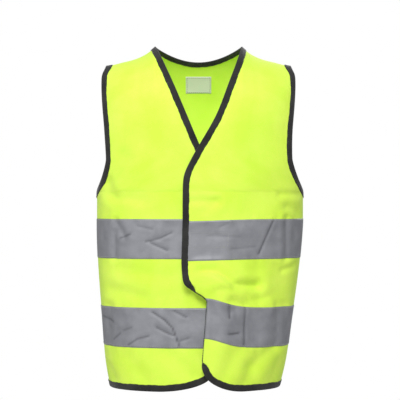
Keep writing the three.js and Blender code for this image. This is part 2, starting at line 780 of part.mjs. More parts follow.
function underFront() {
  const names = {
    panel: 'front_right_flap_panel',
    lowerTape: 'lower_tape_right_flap',
    upperTape: 'upper_tape_right_flap',
    binding: 'right_edge_binding',
  };
  const group = openingFront(names, under, grids.underFlap, halfLegs);
  const tapeFace = fabric / 2 + 2 * gap + tapeThickness;
  const depths = { inner: tapeFace, outer: tapeFace + patchThickness };
  const loops = patchSolid(under, grids.underFlap, { ...patchPlace(loopLength), ...depths });
  group.add(part('loop_patch', loops, hookLoop()));
  return group;
}

const vest = new THREE.Group();
vest.add(torso(), overFront(), underFront());
vest.position.z = -shoulderHeight;

export default vest;
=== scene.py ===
# %% [markdown]
# # A child's high-visibility vest
# The vest is thin knitted cloth, cut as one back and two fronts, with two reflective tapes, a narrow
# black binding on every raw edge and a hook-and-loop fastener where the left front lies over the right.
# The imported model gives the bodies, the joints and the plain solids. This script replaces the plain
# solids with cloth that has folds, stitches and weave, and keeps to their outlines.

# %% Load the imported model
import json
import math
import bpy
import numpy as np
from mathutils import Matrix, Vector
from mathutils.bvhtree import BVHTree
from mathutils.interpolate import poly_3d_calc

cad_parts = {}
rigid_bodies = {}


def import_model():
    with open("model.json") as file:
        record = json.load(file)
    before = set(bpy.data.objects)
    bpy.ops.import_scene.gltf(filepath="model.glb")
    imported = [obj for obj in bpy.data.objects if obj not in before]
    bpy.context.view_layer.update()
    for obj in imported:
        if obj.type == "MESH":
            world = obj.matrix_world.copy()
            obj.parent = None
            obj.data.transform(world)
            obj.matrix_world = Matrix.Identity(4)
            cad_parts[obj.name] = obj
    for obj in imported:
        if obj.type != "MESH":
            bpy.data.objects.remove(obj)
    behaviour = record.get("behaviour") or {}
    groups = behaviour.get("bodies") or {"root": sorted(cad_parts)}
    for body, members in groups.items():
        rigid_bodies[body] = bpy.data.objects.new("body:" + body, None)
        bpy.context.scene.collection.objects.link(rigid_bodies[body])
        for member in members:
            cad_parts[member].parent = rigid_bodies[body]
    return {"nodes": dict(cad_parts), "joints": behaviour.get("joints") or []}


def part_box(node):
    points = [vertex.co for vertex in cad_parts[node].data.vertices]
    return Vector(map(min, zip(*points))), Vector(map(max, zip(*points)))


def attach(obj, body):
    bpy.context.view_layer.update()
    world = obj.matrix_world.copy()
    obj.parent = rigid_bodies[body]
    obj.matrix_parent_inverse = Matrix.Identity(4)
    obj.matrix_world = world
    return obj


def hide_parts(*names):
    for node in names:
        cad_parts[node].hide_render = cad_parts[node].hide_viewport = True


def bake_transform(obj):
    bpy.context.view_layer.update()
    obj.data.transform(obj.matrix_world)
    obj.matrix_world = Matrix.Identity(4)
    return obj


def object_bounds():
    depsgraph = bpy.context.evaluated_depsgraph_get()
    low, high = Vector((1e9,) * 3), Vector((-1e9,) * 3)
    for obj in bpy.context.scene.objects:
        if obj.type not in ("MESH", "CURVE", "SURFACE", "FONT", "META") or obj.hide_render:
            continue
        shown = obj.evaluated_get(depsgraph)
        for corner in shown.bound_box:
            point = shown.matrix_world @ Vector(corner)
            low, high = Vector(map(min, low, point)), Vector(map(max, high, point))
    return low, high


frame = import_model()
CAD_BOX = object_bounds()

print("nodes:", len(frame["nodes"]))

# %% [markdown]
# ## The camera
# A long lens far from the vest keeps the tapes level and the sides upright, as in a shop picture.
# A short lens close by would show more of the shoulders from below and bow the hem. The lens is set
# from the width that has to fit at the distance of the front, so its number follows from the sizes.

# %% Camera
low, high = CAD_BOX
VIEW_WIDTH = 0.5
FRONT_Y = -0.085
CAMERA_AWAY = 2.2
SENSOR = 36.0
camera_data = bpy.data.cameras.new("vest_camera")
camera_data.sensor_width = SENSOR
camera_data.lens = SENSOR * CAMERA_AWAY / VIEW_WIDTH
camera = bpy.data.objects.new("vest_camera", camera_data)
bpy.context.scene.collection.objects.link(camera)
VIEW_HEIGHT = 0.0195
camera.location = (0.0, FRONT_Y - CAMERA_AWAY, (low[2] + high[2]) / 2 + VIEW_HEIGHT)
camera.rotation_euler = (math.radians(90), 0, 0)
bpy.context.scene.camera = camera
print("lens", round(camera_data.lens, 1), "mm at height", round(camera.location.z, 4))

# %% [markdown]
# ## Measures
# A maker works from a size chart. These are the same measures that the plain solids were drawn from,
# in millimetres. Heights are measured up from the hem, and sideways places out from the centre line.

# %% Size chart
NECK_HEIGHT = 436
SHOULDER_DROP = 24
CHEST_HALF = 133
HEM_HALF = 108
CHEST_HEIGHT = 215
FRONT_DEPTHS = (82, 98)
BACK_DEPTHS = (80, 90)
SQUARENESS = 2.5
WIDTH_TAPER = 1.6
DEPTH_TAPER = 1.3
SWAY_TAPER = 1.1
FULLER = 2.6
FULLER_HEIGHT = 30
FULLER_REACH = 40
HEM_SWAY = -6.6
SHOULDER_SWAY = -2
NECK_HALF = 56
NECK_DROP = 128
BACK_NECK_DROP = 17
SHOULDER_CURVE = 106
SHOULDER_FADE = 24
ARMHOLE_DEPTH = 188
ARMHOLE_SCOOP = 14.5
BACK_SCOOP = 11
SCOOP_HEIGHT = 42
SHOULDER_FLARE = 6
SHOULDER_TIP = 2.5
ARMHOLE_TIP = 4.5
OVERLAP = 21
TAPE_WIDTH = 50
TAPE_GAP = 61
LOWER_TAPE = 53
BINDING_WIDTH = 7.2
TAPE_INSET = 0.9

SHOULDER_HEIGHT = NECK_HEIGHT - SHOULDER_DROP
SHOULDER_START = NECK_HEIGHT - SHOULDER_CURVE
UNDERARM = NECK_HEIGHT - ARMHOLE_DEPTH
NECK_BOTTOM = NECK_HEIGHT - NECK_DROP
LOWER_TAPE_TOP = LOWER_TAPE + TAPE_WIDTH
UPPER_TAPE = LOWER_TAPE_TOP + TAPE_GAP
UPPER_TAPE_TOP = UPPER_TAPE + TAPE_WIDTH
print("tapes at", (LOWER_TAPE, LOWER_TAPE_TOP), (UPPER_TAPE, UPPER_TAPE_TOP), "mm above the hem")

# %% [markdown]
# ## The shape that the vest hangs in
# Cloth on a body is not flat and not a tube. Seen from above, each level is a rounded rectangle, wider
# than it is deep. A simulation could find this shape from flat pieces, but then the tapes and the edges
# lie where it leaves them. Here one formula gives the depth at every place, so that all pieces agree.

# %% Small helpers
def clamp01(v):
    return np.clip(v, 0.0, 1.0)

def mix(a, b, t):
    return a + (b - a) * t

def smooth(start, end, v):
    t = clamp01((v - start) / (end - start))
    return t * t * (3 - 2 * t)

def bell(v, centre, width):
    return np.exp(-(((v - centre) / width) ** 2))

def unit(v):
    return v / np.maximum(np.linalg.norm(v, axis=-1, keepdims=True), 1e-9)

# %% Depth of the hanging vest
def towards_hem(z):
    return clamp01(1 - z / CHEST_HEIGHT)

def half_width(z):
    fuller = FULLER * bell(z, FULLER_HEIGHT, FULLER_REACH)
    return CHEST_HALF - (CHEST_HALF - HEM_HALF) * towards_hem(z) ** WIDTH_TAPER + fuller

def centre_x(z):
    return HEM_SWAY * towards_hem(z) ** SWAY_TAPER + SHOULDER_SWAY * smooth(UNDERARM, SHOULDER_START, z)

def ridge_height(u):
    fall = np.exp(-np.maximum(0, np.abs(u) - NECK_HALF) / SHOULDER_FADE)
    tip = SHOULDER_TIP * smooth(CHEST_HALF - 40, CHEST_HALF - 12, np.abs(u))
    return SHOULDER_HEIGHT + SHOULDER_DROP * fall - tip

def body_depth(depths, u, z):
    depth = mix(depths[0], depths[1], towards_hem(z) ** DEPTH_TAPER)
    across = (1 - clamp01(np.abs(u) / half_width(z)) ** SQUARENESS) ** (1 / SQUARENESS)
    t = clamp01((z - SHOULDER_START) / (ridge_height(u) - SHOULDER_START))
    return depth * across * np.sqrt(1 - t * t)

for z in (0, 120, 240):
    print("height", z, "half width", round(float(half_width(z)), 1),
          "front depth", round(float(body_depth(FRONT_DEPTHS, 0, z)), 1))

# %% [markdown]
# ## The outlines of the fronts
# The two fronts are not mirror images. The left one lies over the right one, its neckline is a little
# fuller, and below the fastener it billows out and its edge has turned under. Each front keeps its own
# small set of measures, and one set of outline functions serves both.

# %% The two fronts
FASTENER_GAP = 5.3
LOWER_BILLOW = 6.5
BILLOW_LEVELS = (118, 165)
BILLOW_PEAK = 5
BILLOW_CENTRE = 138
BILLOW_REACH = 15
LIFT_REACH = (26, 78)
LIFT_FADE = 55
NECK_BULGE = 4.4
BULGE_RISE = 32
BULGE_REACH = 38
TURN_TOP = 113
TURN_BOTTOM = 48
TURN_WIDTH = 10.5
TURN_RUN = 22
TURN_RADIUS = 2.5
TURN_SHIFT = 33
SHARP_SHARE = 0.88
SLOW_SHARE = 0.12
BACKWARD_SHIFT = 4

def no_shift(z):
    return 0.0 * z

def turned_shift(z):
    sharp = SHARP_SHARE * (1 - smooth(TURN_TOP - 2.5, TURN_TOP + TURN_RUN + 2, z))
    slow = SLOW_SHARE * (1 - smooth(TURN_TOP + 7, TURN_TOP + 51, z))
    return TURN_SHIFT * (sharp + slow) - BACKWARD_SHIFT * (1 - smooth(0, TURN_TOP, z))

def turning(z):
    start = smooth(TURN_TOP + TURN_RUN, TURN_TOP, z)
    return math.pi * start * smooth(TURN_BOTTOM - TURN_RUN, TURN_BOTTOM, z)

def neck_bulge(z):
    return NECK_BULGE * bell(z, NECK_BOTTOM + BULGE_RISE, BULGE_REACH)

OVER = {"side": 1, "facing": -1, "bow": 1.22, "bulge": neck_bulge, "corner": (56, 33),
        "shift": turned_shift, "turn": turning,
        "strip": TURN_WIDTH, "low_rise": lambda u: 13 * bell(u, 8, 34),
        "high_rise": lambda u: -2.5 * bell(u, -20, 60)}
UNDER = {"side": -1, "facing": -1, "bow": 0.94, "bulge": no_shift, "corner": (70, 22),
         "shift": no_shift, "turn": no_shift,
         "strip": BINDING_WIDTH + TAPE_INSET, "low_rise": no_shift, "high_rise": no_shift}

def over_lift(u, z):
    billow = LOWER_BILLOW * (1 - smooth(*BILLOW_LEVELS, z))
    billow = billow + BILLOW_PEAK * bell(z, BILLOW_CENTRE, BILLOW_REACH)
    reach = 1 - smooth(*LIFT_REACH, u)
    return (FASTENER_GAP + billow) * reach * (1 - smooth(NECK_BOTTOM, NECK_BOTTOM + LIFT_FADE, z))

OVER["depth"] = lambda u, z: body_depth(FRONT_DEPTHS, u, z) + over_lift(u, z)
UNDER["depth"] = lambda u, z: body_depth(FRONT_DEPTHS, u, z)
BACK = {"side": 1, "facing": 1, "depth": lambda u, z: body_depth(BACK_DEPTHS, u, z)}

# %% Edge lines
def neck_edge(bow, z):
    rise = (z - NECK_BOTTOM) / NECK_DROP
    above = NECK_HALF * (1 - (1 - clamp01(rise)) ** bow)
    return np.where(rise > 0, above, NECK_HALF * bow * rise)

def front_edge(front, z):
    v = neck_edge(front["bow"], z) + front["bulge"](z) + OVERLAP
    edge = (v + np.sqrt(v * v + 16)) / 2 - OVERLAP + front["shift"](z)
    wide, high = front["corner"]
    down = clamp01(1 - z / high)
    return edge + wide * (1 - np.sqrt(1 - down * down))

def hem_line(front, u):
    wide, high = front["corner"]
    edge = front_edge(front, np.float64(high))
    along = clamp01((edge + wide - u) / wide)
    reach = np.minimum(along, math.sqrt(0.5))
    return high * (1 - np.sqrt(1 - reach * reach))

def armhole_edge(scoop, level):
    low_part = clamp01(1 - (level - UNDERARM) / SCOOP_HEIGHT) ** 1.3
    flare = smooth(UNDERARM + SCOOP_HEIGHT, SHOULDER_HEIGHT, level)
    tip = ARMHOLE_TIP * smooth(NECK_HEIGHT - 20, NECK_HEIGHT, level)
    top = CHEST_HALF - ARMHOLE_SCOOP + SHOULDER_FLARE - tip
    return mix(CHEST_HALF - scoop * (1 - low_part), top, flare) - smooth(UNDERARM, UNDERARM + 20, level)

print("V meets at", NECK_BOTTOM, "mm, underarm at", UNDERARM, "mm")

# %% [markdown]
# ## A grid of points for each panel
# A sheet that will be folded, taped and stitched needs points that follow its own lines: rows along the
# tapes and the hem, columns down the front edge. A remeshed sheet has no such lines, and a tape cut from
# it has ragged edges. So each panel is a grid, and each row is known by its height at the neck point.

# %% Rows
def row_levels(step):
    keys = [0, LOWER_TAPE, LOWER_TAPE_TOP, UPPER_TAPE, UPPER_TAPE_TOP, UNDERARM, SHOULDER_START]
    levels = []
    for start, end in zip(keys, keys[1:]):
        count = max(2, round((end - start) / step))
        levels += [mix(start, end, k / count) for k in range(count)]
    turns = round(SHOULDER_CURVE * math.pi / 2 / step)
    levels += [SHOULDER_START + SHOULDER_CURVE * math.sin(math.pi / 2 * k / turns) for k in range(turns + 1)]
    return np.array(levels)

LEVELS = row_levels(1.8)
def row_at(level):
    return int(np.argmin(np.abs(LEVELS - level)))

def row_height(front, level, u):
    low_rise = front["low_rise"](u)
    if level < LOWER_TAPE:
        return mix(hem_line(front, u), LOWER_TAPE + low_rise, level / LOWER_TAPE)
    if level > SHOULDER_START:
        return mix(SHOULDER_START, ridge_height(u), (level - SHOULDER_START) / SHOULDER_CURVE)
    rise = mix(low_rise, front["high_rise"](u), smooth(LOWER_TAPE_TOP, UPPER_TAPE, level))
    return level + rise * (1 - smooth(UPPER_TAPE_TOP, UNDERARM, level))

def spread(start, end, count, wide):
    """Places across a row, closer together where the section turns to the side."""
    share = np.minimum(1, np.abs([start, end]) / wide) ** (SQUARENESS / 2)
    turns = np.arccos(np.sign([start, end]) * share)
    angles = np.linspace(turns[0], turns[1], count)
    return wide * np.sign(np.cos(angles)) * np.abs(np.cos(angles)) ** (2 / SQUARENESS)

print(len(LEVELS), "rows")

# %% Points of a sheet and its rolled edge
SEAM_LAP = 0.35

def sheet_points(sheet, u, z):
    step = 0.4
    depth = sheet["depth"]
    slope_u = (depth(u + step, z) - depth(u - step, z)) / (2 * step)
    slope_z = (depth(u, z + step) - depth(u, z - step)) / (2 * step)
    away = depth(u, z)
    y = sheet["facing"] * (away - SEAM_LAP * np.exp(-away / 2))
    at = np.stack([centre_x(z) + sheet["side"] * u, y, z + 0 * u], axis=-1)
    normal = np.stack([-slope_u * sheet["side"], np.full_like(u, sheet["facing"]), -slope_z], axis=-1)
    return at, unit(normal)

def rolled_strip(front, start_u, along, angle, height):
    """The edge strip of a row, rolled under about its first place by an angle."""
    first = np.array([start_u])
    _, start_normal = sheet_points(front, first, height(first))
    u = start_u - along
    plain, normal = sheet_points(front, u, height(u))
    across = np.array([-front["side"], 0.0, 0.0])
    across = unit(across - start_normal[0] * (across @ start_normal[0]))
    bend = np.minimum(along / TURN_RADIUS, angle)
    rest = along - TURN_RADIUS * bend
    forward = TURN_RADIUS * np.sin(bend) + rest * np.cos(bend) - along
    inward = TURN_RADIUS * (1 - np.cos(bend)) + rest * np.sin(bend)
    at = plain + forward[:, None] * across - inward[:, None] * start_normal[0]
    return at, unit(normal * np.cos(bend)[:, None] + across * np.sin(bend)[:, None])

FLAT_COLUMNS = 92
STRIP_COLUMNS = 9

def front_row(front, level):
    height = lambda u: row_height(front, level, u)
    outer = float(armhole_edge(ARMHOLE_SCOOP, level)) if level > UNDERARM else float(half_width(level))
    edge = 0.0
    for _ in range(14):
        edge = float(front_edge(front, height(edge)))
    angle = float(front["turn"](height(edge)))
    strip = front["strip"]
    turned = min(angle, math.pi / 2)
    left = max(0, strip - TURN_RADIUS * turned)
    hidden = strip - TURN_RADIUS * math.sin(turned) - left * math.cos(turned)
    start = edge + strip - hidden
    flat = spread(outer, start, FLAT_COLUMNS, max(float(half_width(level)), outer))
    at, normal = sheet_points(front, flat, height(flat))
    along = np.linspace(0, strip, STRIP_COLUMNS)[1:]
    more, more_normal = rolled_strip(front, start, along, angle, height)
    own = np.concatenate([flat, start - along])
    return np.concatenate([at, more]), np.concatenate([normal, more_normal]), own

def back_top_angle(u):
    deepest = math.sqrt(1 - (1 - BACK_NECK_DROP / SHOULDER_CURVE) ** 2)
    return np.arccos(deepest * np.sqrt(1 - clamp01(np.abs(u) / NECK_HALF) ** 2))

FOLD_RISE = 25
FOLD_ANGLE = math.asin(FOLD_RISE / SHOULDER_CURVE)
BACK_SIDE_COLUMNS = 48
BACK_NECK_COLUMNS = 50

def back_row(level):
    turn = math.asin(float(clamp01((level - SHOULDER_START) / SHOULDER_CURVE)))
    share = (turn - FOLD_ANGLE) / (math.pi / 2 - FOLD_ANGLE)
    outer = float(armhole_edge(BACK_SCOOP, level)) if level > UNDERARM else float(half_width(level))
    half = spread(outer, NECK_HALF, BACK_SIDE_COLUMNS, max(float(half_width(level)), outer))
    middle = NECK_HALF * np.cos(np.pi * np.arange(1, BACK_NECK_COLUMNS) / BACK_NECK_COLUMNS)
    u = np.concatenate([half, middle, -half[::-1]])
    height = np.full_like(u, level)
    if level > SHOULDER_START:
        if share > 0:
            height = SHOULDER_START + SHOULDER_CURVE * np.sin(mix(FOLD_ANGLE, back_top_angle(u), share))
        height = mix(SHOULDER_START, ridge_height(u), (height - SHOULDER_START) / SHOULDER_CURVE)
    at, normal = sheet_points(BACK, u, height)
    return at, normal, u

def panel_grid(row_maker, *sheet):
    rows = [row_maker(*sheet, level) for level in LEVELS]
    at, normal, own = (np.array([row[k] for row in rows]) for k in range(3))
    return {"at": at, "normal": normal, "own": own, "level": np.repeat(LEVELS[:, None], at.shape[1], 1)}

GRIDS = {
    "left": panel_grid(front_row, OVER),
    "right": panel_grid(front_row, UNDER),
    "back": panel_grid(back_row),
}
for name, grid in GRIDS.items():
    print(name, "grid", grid["at"].shape[:2])

# %% [markdown]
# ## Folds, dents and the slack of the cloth
# A new vest has been folded in a bag, so it keeps sharp creases in the stiff tape and soft ones in the
# knit. Each crease here is a short line on the cloth with a depth and a width. A long shallow wave on
# top gives the slack of thin cloth, and a fine ripple gives the pull of the stitches along the tapes.

# %% Creases: ends of each line (sideways, height), then depth and width
LEFT_CREASES = [
    ([(-12, 237), (22, 237)], 2, 4.5), ([(4, 226), (20, 234)], 1.4, 5), ([(102, 245), (125, 245)], 1.6, 4),
    ([(129, 220), (112, 229)], 2, 6), ([(92, 213), (83, 192), (74.5, 171)], 0.75, 1.9),
    ([(111, 165), (111, 215)], 2.6, 4), ([(118, 166), (121, 214)], 1.2, 4),
    ([(4, 152), (22, 151.5), (34, 143), (46, 132), (74, 130)], 4.6, 5.5),
    ([(44, 108), (58, 107)], 2, 5), ([(74, 150), (78, 122)], 2, 10),
    ([(100, 150), (104, 112)], 2.2, 10), ([(46, 124), (60, 119)], 1.8, 5),
    ([(107, 149), (121, 156)], 1.5, 3.5), ([(40, 86), (39, 106)], 0.8, 2.2),
    ([(59, 56), (59, 105)], 0.65, 2.0), ([(40, 66), (52, 70)], 0.8, 3.2), ([(36, 92), (46, 98)], 1, 4),
    ([(100, 55), (101, 105)], 2.4, 6), ([(112, 55), (110, 105)], 1.4, 4), ([(31, 6), (50, 44)], 2.2, 9),
    ([(69, 31), (94, 50)], 2.6, 8), ([(60, 8), (70, 26)], 1.6, 7), ([(20, 112), (34, 122)], 1.2, 5),
    ([(96, 8), (104, 34)], 1.6, 7), ([(66, 112), (94, 116)], 1.6, 6), ([(10, 196), (50, 193)], 0.25, 3),
    ([(40, 178), (70, 180)], 0.25, 2.4), ([(24, 206), (34, 210)], 0.25, 2.2),
]
RIGHT_CREASES = [
    ([(106, 165), (106, 197)], 1.7, 4), ([(106, 212), (94, 192)], 1.6, 3.6),
    ([(99, 190), (87, 195)], 0.6, 2.6), ([(36, 197), (50, 190), (67, 186)], 0.55, 2.2),
    ([(62, 185), (40, 175)], 0.6, 2.2), ([(78, 206), (60, 202)], 0.35, 2.4),
    ([(56, 98), (40, 88), (30, 78), (20, 54)], 0.8, 2.4), ([(50, 79), (38, 73), (29, 69)], 0.65, 2.2),
    ([(85, 56), (74, 64), (60, 68)], 0.6, 2.6), ([(29, 100), (14, 92)], 0.6, 2.4),
    ([(10, 66), (22, 62)], 0.45, 2.4), ([(110, 58), (112, 104)], 1.8, 4.5),
    ([(106, 84), (119, 90)], 0.6, 2.6),
    ([(104, 62), (96, 70)], 0.5, 2.4), ([(92, 74), (82, 78)], 0.35, 2.2),
    ([(4, 14), (18, 30), (36, 48)], 2.2, 8), ([(102, 12), (110, 27)], 1.4, 4.5),
    ([(70, 116), (108, 126)], 1.6, 7),
    ([(40, 142), (96, 150)], 1.5, 8), ([(60, 10), (84, 40)], 1.5, 9), ([(70, 237), (118, 244)], 1.4, 6),
    ([(116, 262), (96, 292)], 2.2, 9), ([(108, 240), (124, 268)], 1.6, 6),
]
BACK_CREASES = [
    ([(-70, 215), (-96, 160)], 2.0, 5), ([(66, 214), (88, 166)], 1.8, 5), ([(-20, 100), (-32, 56)], 1.6, 4),
    ([(34, 104), (48, 54)], 1.6, 4), ([(-90, 136), (-30, 128)], 1.6, 6), ([(20, 122), (84, 138)], 1.6, 6),
    ([(-60, 6), (-44, 42)], 1.6, 8), ([(70, 8), (52, 44)], 1.6, 8), ([(-100, 238), (-60, 232)], 1.5, 5),
    ([(96, 236), (60, 240)], 1.5, 5), ([(-16, 300), (22, 292)], 1.0, 9),
]

def crease_distance(points, u, z):
    line = np.array(points, dtype=float)
    here = np.stack([u, z], axis=-1)
    nearest = np.full(u.shape, 1e9)
    for a, b in zip(line, line[1:]):
        t = clamp01(((here - a) @ (b - a)) / ((b - a) @ (b - a)))
        nearest = np.minimum(nearest, np.linalg.norm(here - (a + t[..., None] * (b - a)), axis=-1))
    return nearest

def crease_shape(away, width):
    return 0.25 * bell(away, 2.1 * width, width) - bell(away, 0, width)

# %% Slack of the cloth
SHARP_WIDTH = 3.5
# Width of the painted shade along a sharp crease, and the crease depth at which that shade is full.
CREASE_SHADE_WIDTH = 1.3
CREASE_SHADE_FULL_DEPTH = 0.8

def waves(u, z, seed, count=9, longest=150.0, shortest=38.0):
    draw = np.random.default_rng(seed)
    total = 0 * u
    for k in range(count):
        length = longest * (shortest / longest) ** (k / (count - 1))
        turn = draw.uniform(0, math.pi)
        phase = draw.uniform(0, 2 * math.pi)
        way = u * math.cos(turn) + z * math.sin(turn) * 0.8
        total = total + np.sin(way * 2 * math.pi / length + phase) * (length / longest) ** 0.8
    return total / 3

def seam_pull(z, u, seed):
    """The fine ripple beside a stitched tape edge, strongest at the edge."""
    draw = np.random.default_rng(seed)
    total = 0 * u
    for edge in (LOWER_TAPE, LOWER_TAPE_TOP, UPPER_TAPE, UPPER_TAPE_TOP):
        beside = bell(z, edge, 9)
        for length in (17.0, 11.0):
            total = total + beside * np.sin(u * 2 * math.pi / length + draw.uniform(0, 6.28)) * 0.16
    return total

def fold_cloth(grid, creases, slack, seed, calm):
    u, z = grid["own"], grid["level"]
    lift = slack * waves(u, z, seed) + seam_pull(z, u, seed + 50)
    painted_crease_shade = 0 * u
    for points, depth, width in creases:
        away = crease_distance(points, u, z)
        lift = lift + depth * crease_shape(away, width)
        # Narrow creases also get a painted shade value, which darkens the tape laid over them.
        if width < SHARP_WIDTH:
            painted_crease_shade = np.maximum(painted_crease_shade, min(1, depth / CREASE_SHADE_FULL_DEPTH) * bell(away, 0, CREASE_SHADE_WIDTH))
    grid["painted_crease_shade"] = painted_crease_shade
    top = 1 - smooth(NECK_HEIGHT - 60, NECK_HEIGHT - 8, z)
    lift = lift * calm(u, z) * top
    at = grid["at"] + grid["normal"] * lift[..., None]
    along = np.gradient(at, axis=1)
    up = np.gradient(at, axis=0)
    normal = np.cross(along, up)
    turn = np.sign((normal * grid["normal"]).sum(-1, keepdims=True))
    short = np.linalg.norm(normal, axis=-1, keepdims=True) < 1e-6
    grid["at"] = at
    grid["normal"] = unit(np.where(short, grid["normal"], normal * np.where(turn == 0, 1, turn)))

def side_calm(u, z):
    at_side = np.where(z > UNDERARM, armhole_edge(ARMHOLE_SCOOP, z), half_width(z))
    return smooth(0, 9, at_side - np.abs(u)) * mix(0.35, 1, smooth(0, 12, z))

def left_calm(u, z):
    strip = mix(0.25, 1, smooth(-OVERLAP + 2, -OVERLAP + 16, u - OVER["shift"](z)))
    return side_calm(u, z) * np.where(z < NECK_BOTTOM, strip, 1)

def right_calm(u, z):
    hidden = mix(0.2, 1, smooth(6, 24, u + turned_shift(z)))
    return side_calm(u, z) * np.where(z < NECK_BOTTOM, hidden, 1)

fold_cloth(GRIDS["left"], LEFT_CREASES, 1.5, 11, left_calm)
fold_cloth(GRIDS["right"], RIGHT_CREASES, 1.3, 23, right_calm)
fold_cloth(GRIDS["back"], BACK_CREASES, 1.6, 37, side_calm)
print("creases:", len(LEFT_CREASES), len(RIGHT_CREASES), len(BACK_CREASES))

# %% [markdown]
# ## Closed sheets
# Cloth has two faces and a rim. One face alone has no thickness to see at a hem, and its back faces the
# wrong way. Here a sheet is a closed shell: the grid pushed out by two distances, joined round the rim.
# Its map is laid out in real metres along the cloth, so a weave keeps one size on every piece.

# %% Making meshes
HEM_Z = -SHOULDER_HEIGHT

def to_metres(points):
    return (points + np.array([0, 0, HEM_Z])) * 0.001

def make_object(name, points, faces, material, flat_map):
    mesh = bpy.data.meshes.new(name)
    mesh.from_pydata(to_metres(points).tolist(), [], faces)
    mesh.materials.append(material)
    mesh.polygons.foreach_set("use_smooth", [True] * len(mesh.polygons))
    layer = mesh.uv_layers.new(name="cloth_map")
    owners = np.empty(len(mesh.loops), dtype=np.int32)
    mesh.loops.foreach_get("vertex_index", owners)
    layer.uv.foreach_set("vector", flat_map[owners].astype(np.float32).ravel())
    mesh.update()
    piece = bpy.data.objects.new(name, mesh)
    bpy.context.scene.collection.objects.link(piece)
    return piece

def arc_map(at):
    """Metres along the rows and up the columns of a grid."""
    along = np.linalg.norm(np.diff(at, axis=1), axis=-1)
    across = np.concatenate([np.zeros((at.shape[0], 1)), np.cumsum(along, axis=1)], axis=1)
    up = np.linalg.norm(np.diff(at, axis=0), axis=-1)
    rise = np.concatenate([np.zeros((1, at.shape[1])), np.cumsum(up, axis=0)], axis=0)
    middle = rise[:, at.shape[1] // 2][:, None] * np.ones((1, at.shape[1]))
    return np.stack([across, middle], axis=-1) * 0.001

def outward(faces, points, wanted, count):
    """Turns all faces over if the first layer's faces point against the wanted direction."""
    a, b, c = (points[[face[k] for face in faces[:count]]] for k in range(3))
    normal = np.cross(b - a, c - a)
    agree = (normal * wanted[[face[0] for face in faces[:count]]]).sum()
    return [face[::-1] for face in faces] if agree < 0 else faces

def shell(name, at, normal, inner, outer, material):
    rows, columns = at.shape[:2]
    flat, away = at.reshape(-1, 3), normal.reshape(-1, 3)
    inner, outer = (np.broadcast_to(d, (rows, columns)).reshape(-1, 1) for d in (inner, outer))
    points = np.concatenate([flat + away * outer, flat + away * inner])
    size = rows * columns
    i, j = np.meshgrid(np.arange(rows - 1), np.arange(columns - 1), indexing="ij")
    corner = (i * columns + j).ravel()
    front = np.stack([corner, corner + 1, corner + columns + 1, corner + columns], axis=1)
    behind = front[:, ::-1] + size
    rim = list(range(columns - 1))
    rim += [k * columns + columns - 1 for k in range(rows - 1)]
    rim += [(rows - 1) * columns + columns - 1 - k for k in range(columns - 1)]
    rim += [(rows - 1 - k) * columns for k in range(rows - 1)]
    around = np.stack([rim, np.roll(rim, -1)], axis=1)
    edge = np.stack([around[:, 1], around[:, 0], around[:, 0] + size, around[:, 1] + size], axis=1)
    faces = [tuple(face) for face in np.concatenate([front, behind, edge]).tolist()]
    faces = outward(faces, points, away, len(front))
    sheet_map = arc_map(at).reshape(-1, 2)
    return make_object(name, points, faces, material, np.concatenate([sheet_map, sheet_map]))

def flat_area(at):
    a, b, c, d = at[:-1, :-1], at[:-1, 1:], at[1:, 1:], at[1:, :-1]
    first = np.linalg.norm(np.cross(b - a, c - a), axis=-1)
    second = np.linalg.norm(np.cross(c - a, d - a), axis=-1)
    return float((first + second).sum()) / 2 * 1e-6

for name, grid in GRIDS.items():
    print(name, "panel is", round(flat_area(grid["at"]), 4), "square metres of cloth")

# %% [markdown]
# ## Finishes
# Each finish is made of shader nodes that read the cloth map, so its grain is set in real sizes. A
# picture of a weave would blur close up and repeat far off, and would need a file beside the script.
# The helper below adds one node and sets or links its inputs, which keeps each finish short to read.

# %% Node helper
def add(tree, kind, inputs=None, **settings):
    made = tree.nodes.new(kind)
    for key, value in settings.items():
        setattr(made, key, value)
    for key, value in (inputs or {}).items():
        if isinstance(value, bpy.types.NodeSocket):
            tree.links.new(value, made.inputs[key])
        else:
            made.inputs[key].default_value = value
    return made

def start_finish(name, **fixed):
    material = bpy.data.materials.new(name)
    material.use_nodes = True
    tree = material.node_tree
    shader = tree.nodes["Principled BSDF"]
    for key, value in fixed.items():
        shader.inputs[key.replace("_", " ")].default_value = value
    place = add(tree, "ShaderNodeUVMap", uv_map="cloth_map").outputs["UV"]
    return material, tree, shader, place

def ribs(tree, place, pitch_mm, way, distortion=0.6):
    """Even raised lines, at a pitch in millimetres, on a map that is in metres."""
    scale = 2 * math.pi / 20 / (pitch_mm * 0.001)
    inputs = {"Vector": place, "Scale": scale, "Distortion": distortion, "Detail": 1.0, "Detail Scale": 0.4}
    return add(tree, "ShaderNodeTexWave", inputs, wave_type="BANDS", bands_direction=way).outputs["Fac"]

def grain(tree, place, size_mm, detail=2.0):
    inputs = {"Vector": place, "Scale": 1000.0 / size_mm, "Detail": detail}
    return add(tree, "ShaderNodeTexNoise", inputs).outputs["Fac"]

def sums(tree, first, second, second_share=1.0):
    scaled = add(tree, "ShaderNodeMath", {0: second, 1: second_share}, operation="MULTIPLY").outputs[0]
    return add(tree, "ShaderNodeMath", {0: first, 1: scaled}, operation="ADD").outputs[0]

def colour_between(tree, fac, dark, light, low_at=0.3, high_at=0.7):
    ramp = add(tree, "ShaderNodeValToRGB", {"Fac": fac})
    ends = ramp.color_ramp.elements
    ends[0].position, ends[1].position = low_at, high_at
    ends[0].color, ends[1].color = (*dark, 1), (*light, 1)
    return ramp.outputs["Color"]

def between(tree, fac, low_value, high_value):
    inputs = {"Value": fac, "From Min": 0.25, "From Max": 0.75, "To Min": low_value, "To Max": high_value}
    return add(tree, "ShaderNodeMapRange", inputs).outputs["Result"]

